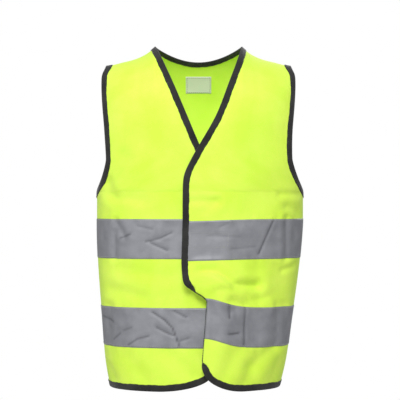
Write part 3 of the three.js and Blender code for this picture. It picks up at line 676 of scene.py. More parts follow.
def raise_surface(tree, shader, height, depth_mm, strength, under=None):
    inputs = {"Height": height, "Distance": depth_mm * 0.001, "Strength": strength}
    if under is not None:
        inputs["Normal"] = under
    bump = add(tree, "ShaderNodeBump", inputs).outputs["Normal"]
    tree.links.new(bump, shader.inputs["Normal"])
    return bump

# %% [markdown]
# ### Fluorescent knit
# The cloth is warp-knitted polyester: fine upright wales crossed by flatter courses. The dye is
# fluorescent, so it sends back more light than a plain yellow can. A very bright base colour with a
# little painted glow of the same hue stands for that; the glow is emission and shines under any lamp.
# The folds still shade because the glow is small.

# %% Knit finish
def knit_finish():
    # Painted glow: the knit's emission, which adds light of its own hue under any lamp.
    painted_glow = (0.55, 1.0, 0.03, 1)
    material, tree, shader, place = start_finish(
        "hi_vis_knit", Sheen_Weight=0.12, Sheen_Roughness=0.5, Specular_IOR_Level=0.25,
        Emission_Color=painted_glow, Emission_Strength=0.07)
    soft = grain(tree, place, 45.0, 3.0)
    fine = grain(tree, place, 2.2)
    tone = sums(tree, soft, fine, 0.25)
    colour = colour_between(tree, tone, (0.66, 0.93, 0.070), (0.76, 1.0, 0.115), 0.45, 0.8)
    tree.links.new(colour, shader.inputs["Base Color"])
    tree.links.new(between(tree, fine, 0.72, 0.9), shader.inputs["Roughness"])
    wales = ribs(tree, place, 1.15, "X")
    courses = ribs(tree, place, 0.85, "Y", 1.2)
    loops = sums(tree, wales, courses, 0.55)
    first = raise_surface(tree, shader, sums(tree, loops, fine, 0.6), 0.16, 0.55)
    raise_surface(tree, shader, grain(tree, place, 14.0, 2.0), 0.7, 0.35, first)
    return material

KNIT = knit_finish()

# %% [markdown]
# ### Reflective tape
# The tape is grey cloth covered with tiny glass beads under a clear coat. In even light it is a flat,
# slightly cool grey with a satin bloom, and it shows every fold. Metal would mirror the room, so the
# grey is mostly a plain colour. Fine speckle stands for the beads and a wider noise for handling. Along
# the sharp creases the grey is darkened by the crease-shade values: that is painted shade in the creases.

# %% Tape finish
# Colour multiplied into the tape along sharp creases: painted shade.
CREASE_SHADE_COLOUR = (0.42, 0.42, 0.43, 1)

def tape_finish():
    material, tree, shader, place = start_finish(
        "reflective_tape", Metallic=0.22, Specular_IOR_Level=0.4, Coat_Weight=0.06, Coat_Roughness=0.45)
    beads = grain(tree, place, 0.55, 1.0)
    wear = grain(tree, place, 18.0, 4.0)
    tone = sums(tree, wear, beads, 0.5)
    colour = colour_between(tree, tone, (0.235, 0.24, 0.262), (0.325, 0.33, 0.358), 0.5, 1.0)
    # The crease-shade values from the cloth's creases darken the grey here: painted shade in the creases.
    crease_shade_fac = add(tree, "ShaderNodeAttribute", attribute_name="painted_crease_shade").outputs["Fac"]
    layers = {"Fac": crease_shade_fac, "Color1": colour, "Color2": CREASE_SHADE_COLOUR}
    darker = add(tree, "ShaderNodeMixRGB", layers, blend_type="MULTIPLY")
    tree.links.new(darker.outputs["Color"], shader.inputs["Base Color"])
    tree.links.new(between(tree, wear, 0.42, 0.6), shader.inputs["Roughness"])
    weave = sums(tree, ribs(tree, place, 0.5, "X"), ribs(tree, place, 0.5, "Y"), 1.0)
    first = raise_surface(tree, shader, sums(tree, beads, weave, 0.3), 0.05, 0.4)
    cells = add(tree, "ShaderNodeTexVoronoi", {"Vector": place, "Scale": 90.0}, feature="F1")
    crinkle = sums(tree, cells.outputs["Distance"], grain(tree, place, 9.0, 3.0), 0.8)
    raise_surface(tree, shader, crinkle, 0.5, 0.3, first)
    return material

TAPE = tape_finish()

# %% [markdown]
# ### Black binding
# The binding is a soft woven strip, folded over the raw edge and sewn down. Black cloth is not black
# paint: its fibres catch light at a low angle. Cross ribs, a slight bloom of sheen and paler wear on the
# high places keep it from looking like rubber.

# %% Binding finish
def binding_finish():
    material, tree, shader, place = start_finish(
        "black_binding", Sheen_Weight=0.2, Sheen_Roughness=0.45, Specular_IOR_Level=0.2)
    rib = ribs(tree, place, 0.8, "X", 0.4)
    fibre = grain(tree, place, 0.7, 3.0)
    wear = grain(tree, place, 26.0, 3.0)
    tone = sums(tree, wear, sums(tree, rib, fibre, 1.0), 0.25)
    colour = colour_between(tree, tone, (0.013, 0.0135, 0.013), (0.042, 0.043, 0.040), 0.5, 1.05)
    tree.links.new(colour, shader.inputs["Base Color"])
    tree.links.new(between(tree, fibre, 0.74, 0.95), shader.inputs["Roughness"])
    raise_surface(tree, shader, sums(tree, rib, fibre, 0.8), 0.12, 0.6)
    return material

BINDING = binding_finish()

# %% [markdown]
# ### Thread, fastener tapes and labels
# Thread is a twisted cord, so its colour is broken by short slanted lines. The hook tape is a stiff
# woven strip with plastic hooks and the loop tape is a soft one with brushed loops. The labels are
# white woven satin, blank here. All of them are small, so two or three nodes each are enough.

# %% Small finishes
def small_finish(name, dark, light, pitch, rough, depth, sheen):
    material, tree, shader, place = start_finish(name, Sheen_Weight=sheen, Specular_IOR_Level=0.3)
    rib = ribs(tree, place, pitch, "DIAGONAL", 0.3)
    fibre = grain(tree, place, pitch * 1.4, 2.0)
    tone = sums(tree, rib, fibre, 0.8)
    tree.links.new(colour_between(tree, tone, dark, light, 0.3, 1.2), shader.inputs["Base Color"])
    tree.links.new(between(tree, fibre, rough - 0.1, rough + 0.08), shader.inputs["Roughness"])
    raise_surface(tree, shader, tone, depth, 0.5)
    return material

TAPE_THREAD = small_finish("grey_thread", (0.27, 0.28, 0.27), (0.43, 0.44, 0.42), 0.4, 0.6, 0.06, 0.1)
BLACK_THREAD = small_finish("black_thread", (0.016, 0.016, 0.016), (0.06, 0.06, 0.058), 0.4, 0.55, 0.06, 0.2)
LIME_THREAD = small_finish("lime_thread", (0.50, 0.72, 0.07), (0.68, 0.93, 0.14), 0.4, 0.7, 0.06, 0.1)
HOOK_CLOTH = small_finish("hook_tape", (0.42, 0.60, 0.07), (0.60, 0.84, 0.12), 0.9, 0.5, 0.1, 0.0)
LOOP_CLOTH = small_finish("loop_tape", (0.46, 0.66, 0.09), (0.64, 0.88, 0.15), 0.6, 0.9, 0.15, 0.3)
LABEL_CLOTH = small_finish("label_satin", (0.72, 0.72, 0.70), (0.86, 0.86, 0.84), 0.35, 0.45, 0.04, 0.1)
print("finishes:", [material.name for material in bpy.data.materials])

# %% [markdown]
# ## Putting pieces on the imported bodies
# Each front opens about a fold that runs from the V down to the hem. The real cloth has no seam there,
# so each front is one piece. The band where each front would turn over its joint is worked out and
# printed. Pieces on the back ride on the torso body, and the fronts and everything sewn to them stay
# where they are made.

# %% Where each front bends
BEND_HALF = 0.019
UP_THE_FOLD = 0.2

def fold_band(joint_name):
    joint = next(j for j in frame["joints"] if j["name"] == joint_name)
    away = Vector(joint["axis"]).normalized()
    centre = Vector(joint["pos_m"]) + away * math.copysign(UP_THE_FOLD, away.z)
    side = 1 if centre.x > 0 else -1
    towards_edge = Vector((-side * abs(away.z), 0, -abs(away.x))).normalized()
    reach = towards_edge * BEND_HALF
    return joint["parent"], joint["child"], centre - reach, centre + reach

FOLDS = {"left": fold_band("front_left_open"), "right": fold_band("front_right_open")}

def sew_on(piece, where, nodes):
    """Fixes a finished piece to the back body, or leaves a front's piece where it is made."""
    if nodes:
        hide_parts(*nodes)
    if where == "back":
        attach(piece, "torso")
    else:
        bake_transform(piece)

for name, (parent, child, start, end) in FOLDS.items():
    print(name, "front bends from", parent, "to", child, "near x", round((start.x + end.x) / 2, 3))

# %% [markdown]
# ## The cloth panels
# The real panels are three cut pieces, seamed at the shoulders and the sides. The two fronts overlap by
# about four centimetres down the middle. Each one is a shell made from its grid, and the size of cloth it
# is cut from and its area are worked out and printed.

# %% Back and front panels
CLOTH = 0.4

def panel(name, where, nodes):
    grid = GRIDS[where]
    piece = shell(name, grid["at"], grid["normal"], -CLOTH, CLOTH, KNIT)
    sew_on(piece, where, nodes)
    lengths = np.linalg.norm(np.diff(grid["at"], axis=1), axis=-1).sum(axis=1)
    tall = np.linalg.norm(np.diff(grid["at"], axis=0), axis=-1).sum(axis=0)
    area = flat_area(grid["at"])
    cut = (float(lengths.max()) * 0.001, float(tall.max()) * 0.001)
    print(name, "cut", [round(v, 3) for v in cut], "area", round(area, 4))
    return piece, cut, area

back_cloth, back_cut, back_area = panel("back_cloth", "back", ["back_panel"])
left_cloth, left_cut, left_area = panel(
    "left_front_cloth", "left", ["front_left_side_panel", "front_left_flap_panel"])
right_cloth, right_cut, right_area = panel(
    "right_front_cloth", "right", ["front_right_side_panel", "front_right_flap_panel"])

# %% [markdown]
# ## The reflective tapes
# Two tapes go once round the vest. Each is laid on the panels before the side seams are sewn, so its ends
# are caught under the seams and under the front binding. A tape is a part of its panel's own grid, lifted
# by the thickness of the cloth, so it has every crease of the cloth under it and never sinks into it.

# %% Tapes
TAPE_UNDER = 0.42
TAPE_FACE = 0.86
TAPE_EDGE_DIP = 0.16
CAUGHT = BINDING_WIDTH - 0.6

def tape_columns(where, grid):
    if where == "back":
        return grid["at"].shape[1]
    row = grid["at"][row_at(UPPER_TAPE)]
    from_edge = np.cumsum(np.linalg.norm(np.diff(row, axis=0), axis=-1)[::-1])[::-1]
    return int((from_edge > CAUGHT).sum()) + 1

def tape(name, where, start, end, nodes):
    grid = GRIDS[where]
    rows = slice(row_at(start), row_at(end) + 1)
    columns = slice(0, tape_columns(where, grid))
    at, normal = grid["at"][rows, columns], grid["normal"][rows, columns]
    face = np.full(at.shape[:2], TAPE_FACE)
    face[[0, -1]] -= TAPE_EDGE_DIP
    piece = shell(name, at, normal, TAPE_UNDER, face, TAPE)
    # The painted crease shade goes onto the tape as a value at each point.
    painted_crease_shade = grid["painted_crease_shade"][rows, columns].ravel()
    layer = piece.data.attributes.new("painted_crease_shade", "FLOAT", "POINT")
    layer.data.foreach_set("value", np.concatenate([painted_crease_shade, painted_crease_shade]).astype(np.float32))
    sew_on(piece, where, nodes)
    return piece

TAPES = {}
for level_name, start, end in (("lower", LOWER_TAPE, LOWER_TAPE_TOP), ("upper", UPPER_TAPE, UPPER_TAPE_TOP)):
    for where in ("left", "right", "back"):
        nodes = [f"{level_name}_tape_{where}_side", f"{level_name}_tape_{where}_flap"]
        nodes = [f"{level_name}_tape_back"] if where == "back" else nodes
        made = tape(f"{level_name}_tape_on_{where}", where, start, end, nodes)
        TAPES[level_name, where] = made
        print(made.name, "vertices", len(made.data.vertices))

# %% [markdown]
# ## Walking along the cloth
# A binding wraps an edge, so it needs to know where the cloth goes behind that edge. On a flat panel that
# is a straight step inwards. Here the cloth curves and in one place rolls under, so the script walks: it
# takes a short step, drops back onto the nearest cloth, and repeats until the strip is wide enough.

# %% Surface to walk on
class Cloth:
    """The middle surface of one or more grids, for finding the nearest place and its outward direction."""

    def __init__(self, *names):
        points, normals, faces = [], [], []
        for name in names:
            at = GRIDS[name]["at"]
            rows, columns = at.shape[:2]
            first = len(points)
            points += [Vector(p) for p in at.reshape(-1, 3)]
            normals += [Vector(p) for p in GRIDS[name]["normal"].reshape(-1, 3)]
            corners = [first + i * columns + j for i in range(rows - 1) for j in range(columns - 1)]
            faces += [(c, c + 1, c + columns + 1, c + columns) for c in corners]
        self.points, self.normals, self.faces = points, normals, faces
        self.tree = BVHTree.FromPolygons(points, faces)

    def near(self, place):
        at, _, face, _ = self.tree.find_nearest(place)
        corners = self.faces[face]
        weights = poly_3d_calc([self.points[c] for c in corners], at)
        normal = sum((self.normals[c] * w for c, w in zip(corners, weights)), Vector())
        return at, normal.normalized()

    def walk(self, start, way, step, count):
        places = [self.near(start)]
        at = places[0][0]
        for _ in range(count):
            here, normal = self.near(at + way * step)
            moved = here - at
            if moved.length > 1e-4:
                way = moved.normalized()
            at = here
            places.append((here, normal))
        return places

def resample(points, pitch, closed=False):
    line = np.array(points, dtype=float)
    if closed:
        line = np.concatenate([line, line[:1]])
    lengths = np.concatenate([[0], np.cumsum(np.linalg.norm(np.diff(line, axis=0), axis=-1))])
    count = max(2, round(lengths[-1] / pitch))
    wanted = np.linspace(0, lengths[-1], count + 1)
    if closed:
        wanted = wanted[:-1]
    return np.stack([np.interp(wanted, lengths, line[:, k]) for k in range(3)], axis=1)

def soften(values, rounds, closed=False):
    """Evens out a line of vectors, keeping the ends of an open one."""
    for _ in range(rounds):
        if closed:
            values = (np.roll(values, 1, axis=0) + 2 * values + np.roll(values, -1, axis=0)) / 4
        else:
            middle = (values[:-2] + 2 * values[1:-1] + values[2:]) / 4
            values = np.concatenate([values[:1], middle, values[-1:]])
    return values

def tangents(line, closed=False):
    if closed:
        return unit(soften(np.roll(line, -1, axis=0) - np.roll(line, 1, axis=0), 3, True))
    return unit(soften(np.gradient(line, axis=0), 3))

CLOTHS = {"left": Cloth("left"), "right": Cloth("right"), "back": Cloth("back"),
          "left_arm": Cloth("left", "back"), "right_arm": Cloth("right", "back")}
print("surfaces to walk on:", sorted(CLOTHS))

# %% [markdown]
# ## The black bindings
# A binding is one long strip, folded in half over the raw edge and sewn through all layers close to its
# inner edge. The stitches pull the strip in at every step, so its surface is a row of soft swellings and
# its inner edge is never quite straight. A swept tube would show none of that. Here each station along
# the edge has its own section, which bulges, dips at the stitches and wraps round the edge.

# %% Section of a binding
LEG_STEP = 1.2
LEG_COUNT = 6
ARM_WIDER = 1.15
BIND_INNER = 0.46
BIND_FACE = 1.12
EDGE_ROUND = 0.85
STITCH_PITCH = 3.0
TAPE_LIFT = 0.32

def leg_heights(travel, on_tape):
    """Height of the strip's face over the cloth, from the edge to the inner end of the leg."""
    share = np.arange(LEG_COUNT + 1) / LEG_COUNT
    pull = 0.5 + 0.5 * math.cos(travel * 2 * math.pi / STITCH_PITCH)
    height = BIND_FACE + 0.10 * np.sin(math.pi * share) - 0.30 * pull * bell(share, 0.83, 0.1)
    height = height - 0.30 * (share > 0.99)
    return height + on_tape * TAPE_LIFT * smooth(0.5, 0.9, share)

def binding_section(places, inward, travel, on_tape):
    edge, edge_normal = places[0]
    heights = leg_heights(travel, on_tape)
    wobble = 0.22 * math.sin(travel * 0.23) + 0.15 * math.sin(travel * 0.71 + 1.3)
    end_at, end_normal = places[-1]
    end_way = (end_at - places[-2][0]).normalized()
    legs = list(places[:-1]) + [(end_at + end_way * wobble, end_normal)]
    front = [at + normal * h for (at, normal), h in zip(legs, heights)]
    behind = [at - normal * h for (at, normal), h in zip(legs, heights)]
    radius = heights[0]
    turn = [math.pi * k / 6 for k in range(1, 6)]
    bend = [edge + edge_normal * (radius * math.cos(a)) - inward * (radius * EDGE_ROUND * math.sin(a))
            for a in turn]
    in_front = [at + normal * BIND_INNER for at, normal in legs]
    in_behind = [at - normal * BIND_INNER for at, normal in legs]
    return front[::-1] + bend + behind + in_behind[::-1] + in_front

def section_cap():
    """Faces that close the end of a binding: two thin legs and the bend between them."""
    n = LEG_COUNT
    front_edge_at, behind_edge = n, n + 6
    inner_behind, inner_front = 3 * n + 7, 3 * n + 8
    caps = []
    for k in range(n):
        a, b = front_edge_at - k, inner_front + k
        caps.append((a - 1, a, b, b + 1))
        c, d = behind_edge + k, inner_behind - k
        caps.append((c, c + 1, d - 1, d))
    caps.append((*range(front_edge_at, behind_edge + 1), inner_behind, inner_front))
    return caps

def inward_sign(cloth, line, ways):
    """Which side of the heading the cloth lies on, by a vote of all stations."""
    votes = 0
    for point, way in zip(line, ways):
        at, normal = cloth.near(Vector(point))
        inward = normal.cross(Vector(way)).normalized()
        reach = [(cloth.near(at + inward * s)[0] - (at + inward * s)).length for s in (1.5, -1.5)]
        votes += 1 if reach[0] < reach[1] else -1
    return 1 if votes > 0 else -1

def binding(name, where, cloth_name, edge_points, closed=False):
    cloth = CLOTHS[cloth_name]
    line = soften(resample(edge_points, 2.2, closed), 4, closed)
    ways = tangents(line, closed)
    sign = inward_sign(cloth, line, ways)
    leg_step = LEG_STEP * (ARM_WIDER if where == "arm" else 1)
    sections, stitch_sites = [], {"front": [], "behind": []}
    travel = 0.0
    for k, (point, way) in enumerate(zip(line, ways)):
        at, normal = cloth.near(Vector(point))
        inward = normal.cross(Vector(way)).normalized() * sign
        places = cloth.walk(at, inward, leg_step, LEG_COUNT)
        height = point[2]
        on_tape = 0.0
        if where != "arm":
            on_tape = float(any(start + 1 < height < end - 1 for start, end in TAPE_SPANS))
        sections.append(binding_section(places, inward, travel, on_tape))
        stitch_at, stitch_normal = places[LEG_COUNT - 1]
        lift = BIND_FACE + on_tape * TAPE_LIFT * 0.9
        stitch_sites["front"].append((stitch_at + stitch_normal * lift, stitch_normal))
        stitch_sites["behind"].append((stitch_at - stitch_normal * lift, -stitch_normal))
        after = line[(k + 1) % len(line)]
        travel += float(np.linalg.norm(after - point)) if k + 1 < len(line) or closed else 0.0
    size = len(sections[0])
    points = np.array([tuple(p) for section in sections for p in section])
    count = len(sections)
    spans = count if closed else count - 1
    faces = [(k * size + m, k * size + (m + 1) % size, (k + 1) % count * size + (m + 1) % size,
              (k + 1) % count * size + m) for k in range(spans) for m in range(size)]
    if not closed:
        last = (count - 1) * size
        faces += [tuple(face[::-1]) for face in section_cap()]
        faces += [tuple(last + c for c in face) for face in section_cap()]
    faces = face_out(faces, points, size)
    steps = np.linspace(0, travel, count) * 0.001
    ring = np.linspace(0, 1, size) * 2 * (BINDING_WIDTH * 2) * 0.001
    cloth_map = np.stack([np.repeat(steps, size), np.tile(ring, count)], axis=1)
    piece = make_object(name, points, faces, BINDING, cloth_map)
    return piece, stitch_sites, travel

def face_out(faces, points, size):
    """Turns the faces over where the first one looks into the cloth."""
    a, b, c = (points[faces[size * 4][k]] for k in range(3))
    normal = np.cross(b - a, c - a)
    middle = points[size * 4:size * 5]
    outer = middle[0] - middle[size - 1]
    return [face[::-1] for face in faces] if normal @ outer < 0 else faces

TAPE_SPANS = [(LOWER_TAPE, LOWER_TAPE_TOP), (UPPER_TAPE, UPPER_TAPE_TOP)]
print("section has", len(section_cap()), "cap faces")

# %% [markdown]
# ### Where the strips run
# One strip finishes each front: it starts at the shoulder seam, goes down the V and the front edge, round
# the corner and along the hem to the side seam. Another crosses the back of the neck, one more follows
# the back hem, and each armhole has a closed ring with its join at the underarm.

# %% Edges
def front_run(where):
    at = GRIDS[where]["at"]
    return np.concatenate([at[::-1, -1], at[0, ::-1][1:]])

def armhole_run(where):
    start = row_at(UNDERARM)
    front = GRIDS[where]["at"][start:, 0]
    column = 0 if where == "left" else -1
    return np.concatenate([front, GRIDS["back"]["at"][start + 1:-1, column][::-1]])

def back_neck_run():
    neck = slice(BACK_SIDE_COLUMNS - 1, BACK_SIDE_COLUMNS + BACK_NECK_COLUMNS)
    return GRIDS["back"]["at"][-1, neck]

BINDINGS = {}
for name, where, cloth_name, edge, nodes, closed in (
    ("left_front_binding", "left", "left", front_run("left"), ["left_edge_binding"], False),
    ("right_front_binding", "right", "right", front_run("right"), ["right_edge_binding"], False),
    ("back_neck_binding", "back", "back", back_neck_run(), ["neck_binding"], False),
    ("back_hem_binding", "back", "back", GRIDS["back"]["at"][0], ["hem_binding"], False),
    ("left_armhole_strip", "arm", "left_arm", armhole_run("left"), ["left_armhole_binding"], True),
    ("right_armhole_strip", "arm", "right_arm", armhole_run("right"), ["right_armhole_binding"], True),
):
    piece, sites, run = binding(name, where, cloth_name, edge, closed)
    sew_on(piece, "back" if where == "arm" else where, nodes)
    BINDINGS[name] = (piece, sites, closed, where)
    print(name, round(run), "mm long,", len(piece.data.vertices), "vertices")

# %% [markdown]
# ## Stitches
# Every row of stitching is a line of small thread arcs that dip into the cloth at both ends. A painted
# dashed line has no shadow and vanishes from the side, so each stitch here is a little closed body. All
# stitches of one row group are one mesh, fixed in the same way as the cloth that it holds.

# %% One stitch, many times
STITCH_LENGTH = 2.2
STITCH_RADIUS = 0.26
STITCH_SIDES = 5
STITCH_RINGS = [(-0.5, 0.45, -0.9), (-0.3, 1.0, -0.1), (0.3, 1.0, -0.1), (0.5, 0.45, -0.9)]

def spaced_sites(places, pitch, closed=False):
    """Evenly spaced places, outward directions and headings along a line of (place, normal)."""
    line = np.array([tuple(at) for at, _ in places])
    out = np.array([tuple(normal) for _, normal in places])
    if closed:
        line, out = np.concatenate([line, line[:1]]), np.concatenate([out, out[:1]])
    lengths = np.concatenate([[0], np.cumsum(np.linalg.norm(np.diff(line, axis=0), axis=-1))])
    wanted = np.arange(pitch / 2, lengths[-1] - pitch / 3, pitch)
    pick = lambda values, at: np.stack([np.interp(at, lengths, values[:, k]) for k in range(3)], axis=1)
    here = pick(line, wanted)
    heading = unit(pick(line, wanted + 0.8) - pick(line, wanted - 0.8))
    return here, unit(pick(out, wanted)), heading

def stitch_points(sites, length=STITCH_LENGTH, radius=STITCH_RADIUS):
    here, out, heading = sites
    across = unit(np.cross(out, heading))
    rings = []
    for along, width, sink in STITCH_RINGS:
        for k in range(STITCH_SIDES):
            angle = 2 * math.pi * k / STITCH_SIDES
            side = across * (math.cos(angle) * radius * width)
            rise = out * (math.sin(angle) * radius * width + radius * sink + radius * 0.5)
            rings.append(here + heading * (along * length) + side + rise)
    return np.stack(rings, axis=1)

def stitch_faces(count):
    size = len(STITCH_RINGS) * STITCH_SIDES
    one = []
    for r in range(len(STITCH_RINGS) - 1):
        for k in range(STITCH_SIDES):
            n = (k + 1) % STITCH_SIDES
            a, b = r * STITCH_SIDES, (r + 1) * STITCH_SIDES
            one.append((a + k, b + k, b + n, a + n))
    one.append(tuple(range(STITCH_SIDES)))
    one.append(tuple(size - 1 - k for k in range(STITCH_SIDES)))
    return [tuple(c + s * size for c in face) for s in range(count) for face in one]

def stitched(name, groups, thread, where, slot="seam_thread", **shape):
    points = np.concatenate([stitch_points(group, **shape) for group in groups])
    count, size = points.shape[:2]
    place = np.tile(np.repeat(np.arange(len(STITCH_RINGS)) * 0.0007, STITCH_SIDES), count)
    turn = np.tile(np.arange(STITCH_SIDES) * 0.0003, len(STITCH_RINGS) * count)
    cloth_map = np.stack([place + np.repeat(np.arange(count), size) * 0.004, turn], axis=1)
    piece = make_object(name, points.reshape(-1, 3), stitch_faces(count), thread, cloth_map)
    sew_on(piece, where, [])
    print(name, count, "stitches")

# %% Stitches on the bindings
for name, (strip, sites, closed, where) in BINDINGS.items():
    groups = [spaced_sites(sites[face], STITCH_PITCH, closed) for face in ("front", "behind")]
    stitched(name + "_stitches", groups, BLACK_THREAD, "back" if where == "arm" else where)

# %% Stitches along both edges of each tape
STITCH_INSET = 1.8

def row_places(where, height, lift, columns):
    grid = GRIDS[where]
    upper = int(np.searchsorted(LEVELS, height))
    share = (height - LEVELS[upper - 1]) / (LEVELS[upper] - LEVELS[upper - 1])
    at = mix(grid["at"][upper - 1, :columns], grid["at"][upper, :columns], share)
    normal = unit(mix(grid["normal"][upper - 1, :columns], grid["normal"][upper, :columns], share))
    return [(p + n * lift, n * np.sign(lift)) for p, n in zip(at, normal)]

for where, grid in GRIDS.items():
    columns = tape_columns(where, grid)
    groups = []
    for start, end in TAPE_SPANS:
        for height in (start + STITCH_INSET, end - STITCH_INSET):
            for lift in (TAPE_FACE, -CLOTH):
                groups.append(spaced_sites(row_places(where, height, lift, columns), STITCH_PITCH))
    stitched(f"tape_stitches_on_{where}", groups, TAPE_THREAD, where)

# %% [markdown]
# ## The hook-and-loop fastener
# A short hook tape is sewn behind the left front's upper tape, and a loop tape on the right front's
# upper tape. Closed, they hide between the fronts. Opened, the stiff hooks stand in rows and the loops
# lie as a soft tangle. The box of stitches that holds the hook tape shows faintly from the front.

# %% Small rectangles sewn to the cloth
HOOK_LONG, LOOP_LONG, PATCH_HIGH = 50, 30, 21
PATCH_START = -OVERLAP + BINDING_WIDTH + TAPE_INSET
PATCH_Z = UPPER_TAPE + TAPE_WIDTH / 2 - 1

def place_on(sheet, where, u, z):
    at, _ = sheet_points(sheet, np.array([float(u)]), np.array([float(z)]))
    return CLOTHS[where].near(Vector(at[0]))

def rectangle(sheet, where, u, z, wide, high, across, up):
    rows = [[place_on(sheet, where, u + wide * (0.5 - j / across), z + high * (i / up - 0.5))
             for j in range(across + 1)] for i in range(up + 1)]
    at = np.array([[tuple(p) for p, _ in row] for row in rows])
    normal = np.array([[tuple(n) for _, n in row] for row in rows])
    return at, normal

def border(at, normal, inset, lift):
    """A line of places just inside the rim of a rectangle."""
    rows, columns = at.shape[:2]
    ring = [(inset, j) for j in range(inset, columns - inset)]
    ring += [(i, columns - 1 - inset) for i in range(inset + 1, rows - inset)]
    ring += [(rows - 1 - inset, j) for j in range(columns - 2 - inset, inset - 1, -1)]
    ring += [(i, inset) for i in range(rows - 2 - inset, inset, -1)]
    return [(at[i, j] + normal[i, j] * lift, normal[i, j] * np.sign(lift)) for i, j in ring]

def sewn_patch(name, sheet, where, centre, size, depths, cloth, nodes, thread, cells=(34, 14)):
    at, normal = rectangle(sheet, where, *centre, *size, *cells)
    piece = shell(name, at, normal, *depths, cloth)
    sew_on(piece, where, nodes)
    lift = depths[1] if abs(depths[1]) > abs(depths[0]) else depths[0]
    edge = spaced_sites(border(at, normal, 1, lift), 2.6, closed=True)
    stitched(name + "_stitches", [edge], thread, where, length=1.9, radius=0.2)
    return at, normal

# %% Hook tape and loop tape
HOOK_DEPTHS = (-1.35, -CLOTH - 0.03)
LOOP_DEPTHS = (TAPE_FACE + 0.02, TAPE_FACE + 0.95)
hook_grid = sewn_patch(
    "hook_tape_patch", OVER, "left", (PATCH_START + HOOK_LONG / 2, PATCH_Z), (HOOK_LONG, PATCH_HIGH),
    HOOK_DEPTHS, HOOK_CLOTH, ["hook_patch"], LIME_THREAD)
loop_grid = sewn_patch(
    "loop_tape_patch", UNDER, "right", (PATCH_START + LOOP_LONG / 2, PATCH_Z), (LOOP_LONG, PATCH_HIGH),
    LOOP_DEPTHS, LOOP_CLOTH, ["loop_patch"], LIME_THREAD)
box_line = border(*hook_grid, 1, TAPE_FACE)
stitched("fastener_box_stitches", [spaced_sites(box_line, 2.6, closed=True)], TAPE_THREAD, "left",
         length=2.0, radius=0.24)

# %% Hooks and loops
def small_arches(name, patch, lift, spacing, tall, thick, cut, where, cloth, seed):
    """Rows of bent filaments on a patch: whole arches are loops, and arches cut short are hooks."""
    at, normal = patch
    draw = np.random.default_rng(seed)
    rows, columns = at.shape[:2]
    long = float(np.linalg.norm(at[0, -1] - at[0, 0]))
    along = np.linspace(2.2, columns - 3.2, max(2, int((columns - 5) * long / (columns - 1) / spacing)))
    up = np.linspace(2.2, rows - 3.2, max(2, int((rows - 5) * PATCH_HIGH / (rows - 1) / spacing)))
    turns = np.linspace(0, math.pi * cut, 6)
    points, faces = [], []
    for v in up:
        for w in along:
            v_at = v + draw.uniform(-0.2, 0.2)
            w_at = w + draw.uniform(-0.2, 0.2)
            i, j = int(v_at), int(w_at)
            below, above = (mix(at[k, j], at[k, j + 1], w_at - j) for k in (i, i + 1))
            base = mix(below, above, v_at - i)
            out = normal[i, j] * math.copysign(1, lift)
            way = unit(at[i, j + 1] - at[i, j]) * draw.choice([-1, 1])
            side = np.cross(out, way)
            way = unit(way + side * draw.uniform(-0.7, 0.7) * (cut > 0.9))
            side = np.cross(out, way)
            start = base + out * (abs(lift) - 0.05)
            for turn in turns:
                centre = start - way * (math.cos(turn) * tall * 0.45) + out * (math.sin(turn) * tall)
                across = -way * math.cos(turn) + out * math.sin(turn)
                for k in range(3):
                    angle = 2 * math.pi * k / 3
                    points.append(centre + (across * math.cos(angle) + side * math.sin(angle)) * thick)
            first = len(points) - 3 * len(turns)
            for t in range(len(turns) - 1):
                for k in range(3):
                    a, b = first + 3 * t + k, first + 3 * t + (k + 1) % 3
                    faces.append((a, b, b + 3, a + 3))
            faces += [(first + 2, first + 1, first), (len(points) - 3, len(points) - 2, len(points) - 1)]
    points = np.array(points)
    piece = make_object(name, points, faces, cloth, points[:, [0, 2]] * 0.001)
    sew_on(piece, where, [])
    print(name, len(points) // (3 * len(turns)), "filaments")

small_arches("hooks", hook_grid, HOOK_DEPTHS[0], 1.5, 0.75, 0.09, 0.8, "left", HOOK_CLOTH, 5)
small_arches("loops", loop_grid, LOOP_DEPTHS[1], 1.3, 0.55, 0.06, 1.0, "right", LOOP_CLOTH, 6)

# %% [markdown]
# ## Labels and inside seams
# Two blank woven labels are sewn inside: a small one at the back of the neck and a care label near the
# left side seam. The shoulder and side seams are overlocked, which leaves a narrow raised band with
# slanted threads on the inside. None of it shows from the front, but the inside is seen when it opens.

# %% Labels
INSIDE = -CLOTH - 0.04
LABEL_THICK = 0.3
label_z = (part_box("size_label")[0][2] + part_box("size_label")[1][2]) / 2 * 1000 + SHOULDER_HEIGHT
care_z = (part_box("care_label")[0][2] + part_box("care_label")[1][2]) / 2 * 1000 + SHOULDER_HEIGHT
for name, node, u, z, size in (("neck_label", "size_label", 0, label_z, (34, 22)),
                               ("side_label", "care_label", CHEST_HALF - 45, care_z, (26, 46))):
    sewn_patch(name, BACK, "back", (u, z), size, (INSIDE - LABEL_THICK, INSIDE), LABEL_CLOTH,
               [node], BLACK_THREAD, cells=(20, 16))
    print(name, "at height", round(float(z)))

# %% Overlocked seam bands
SEAM_BAND = 5.5
SEAM_THICK = 0.9

def seam_band(name, strip, nodes):
    """A raised band on the inside, with slanted overlock threads across it."""
    at, normal = strip
    piece = shell(name, at, normal, INSIDE - SEAM_THICK, INSIDE, KNIT)
    sew_on(piece, "back", nodes)
    first = [(p + n * (INSIDE - SEAM_THICK), -n) for p, n in zip(at[:, 0], normal[:, 0])]
    last = [(p + n * (INSIDE - SEAM_THICK), -n) for p, n in zip(at[:, -1], normal[:, -1])]
    start, out, _ = spaced_sites(first, 1.7)
    end, _, _ = spaced_sites(last, 1.7)
    count = min(len(start), len(end)) - 1
    slanted = (mix(start[:count], end[1:count + 1], 0.5), out[:count], unit(end[1:count + 1] - start[:count]))
    stitched(name + "_threads", [slanted], LIME_THREAD, "back", slot="seam_thread",
             length=SEAM_BAND * 0.9, radius=0.22)

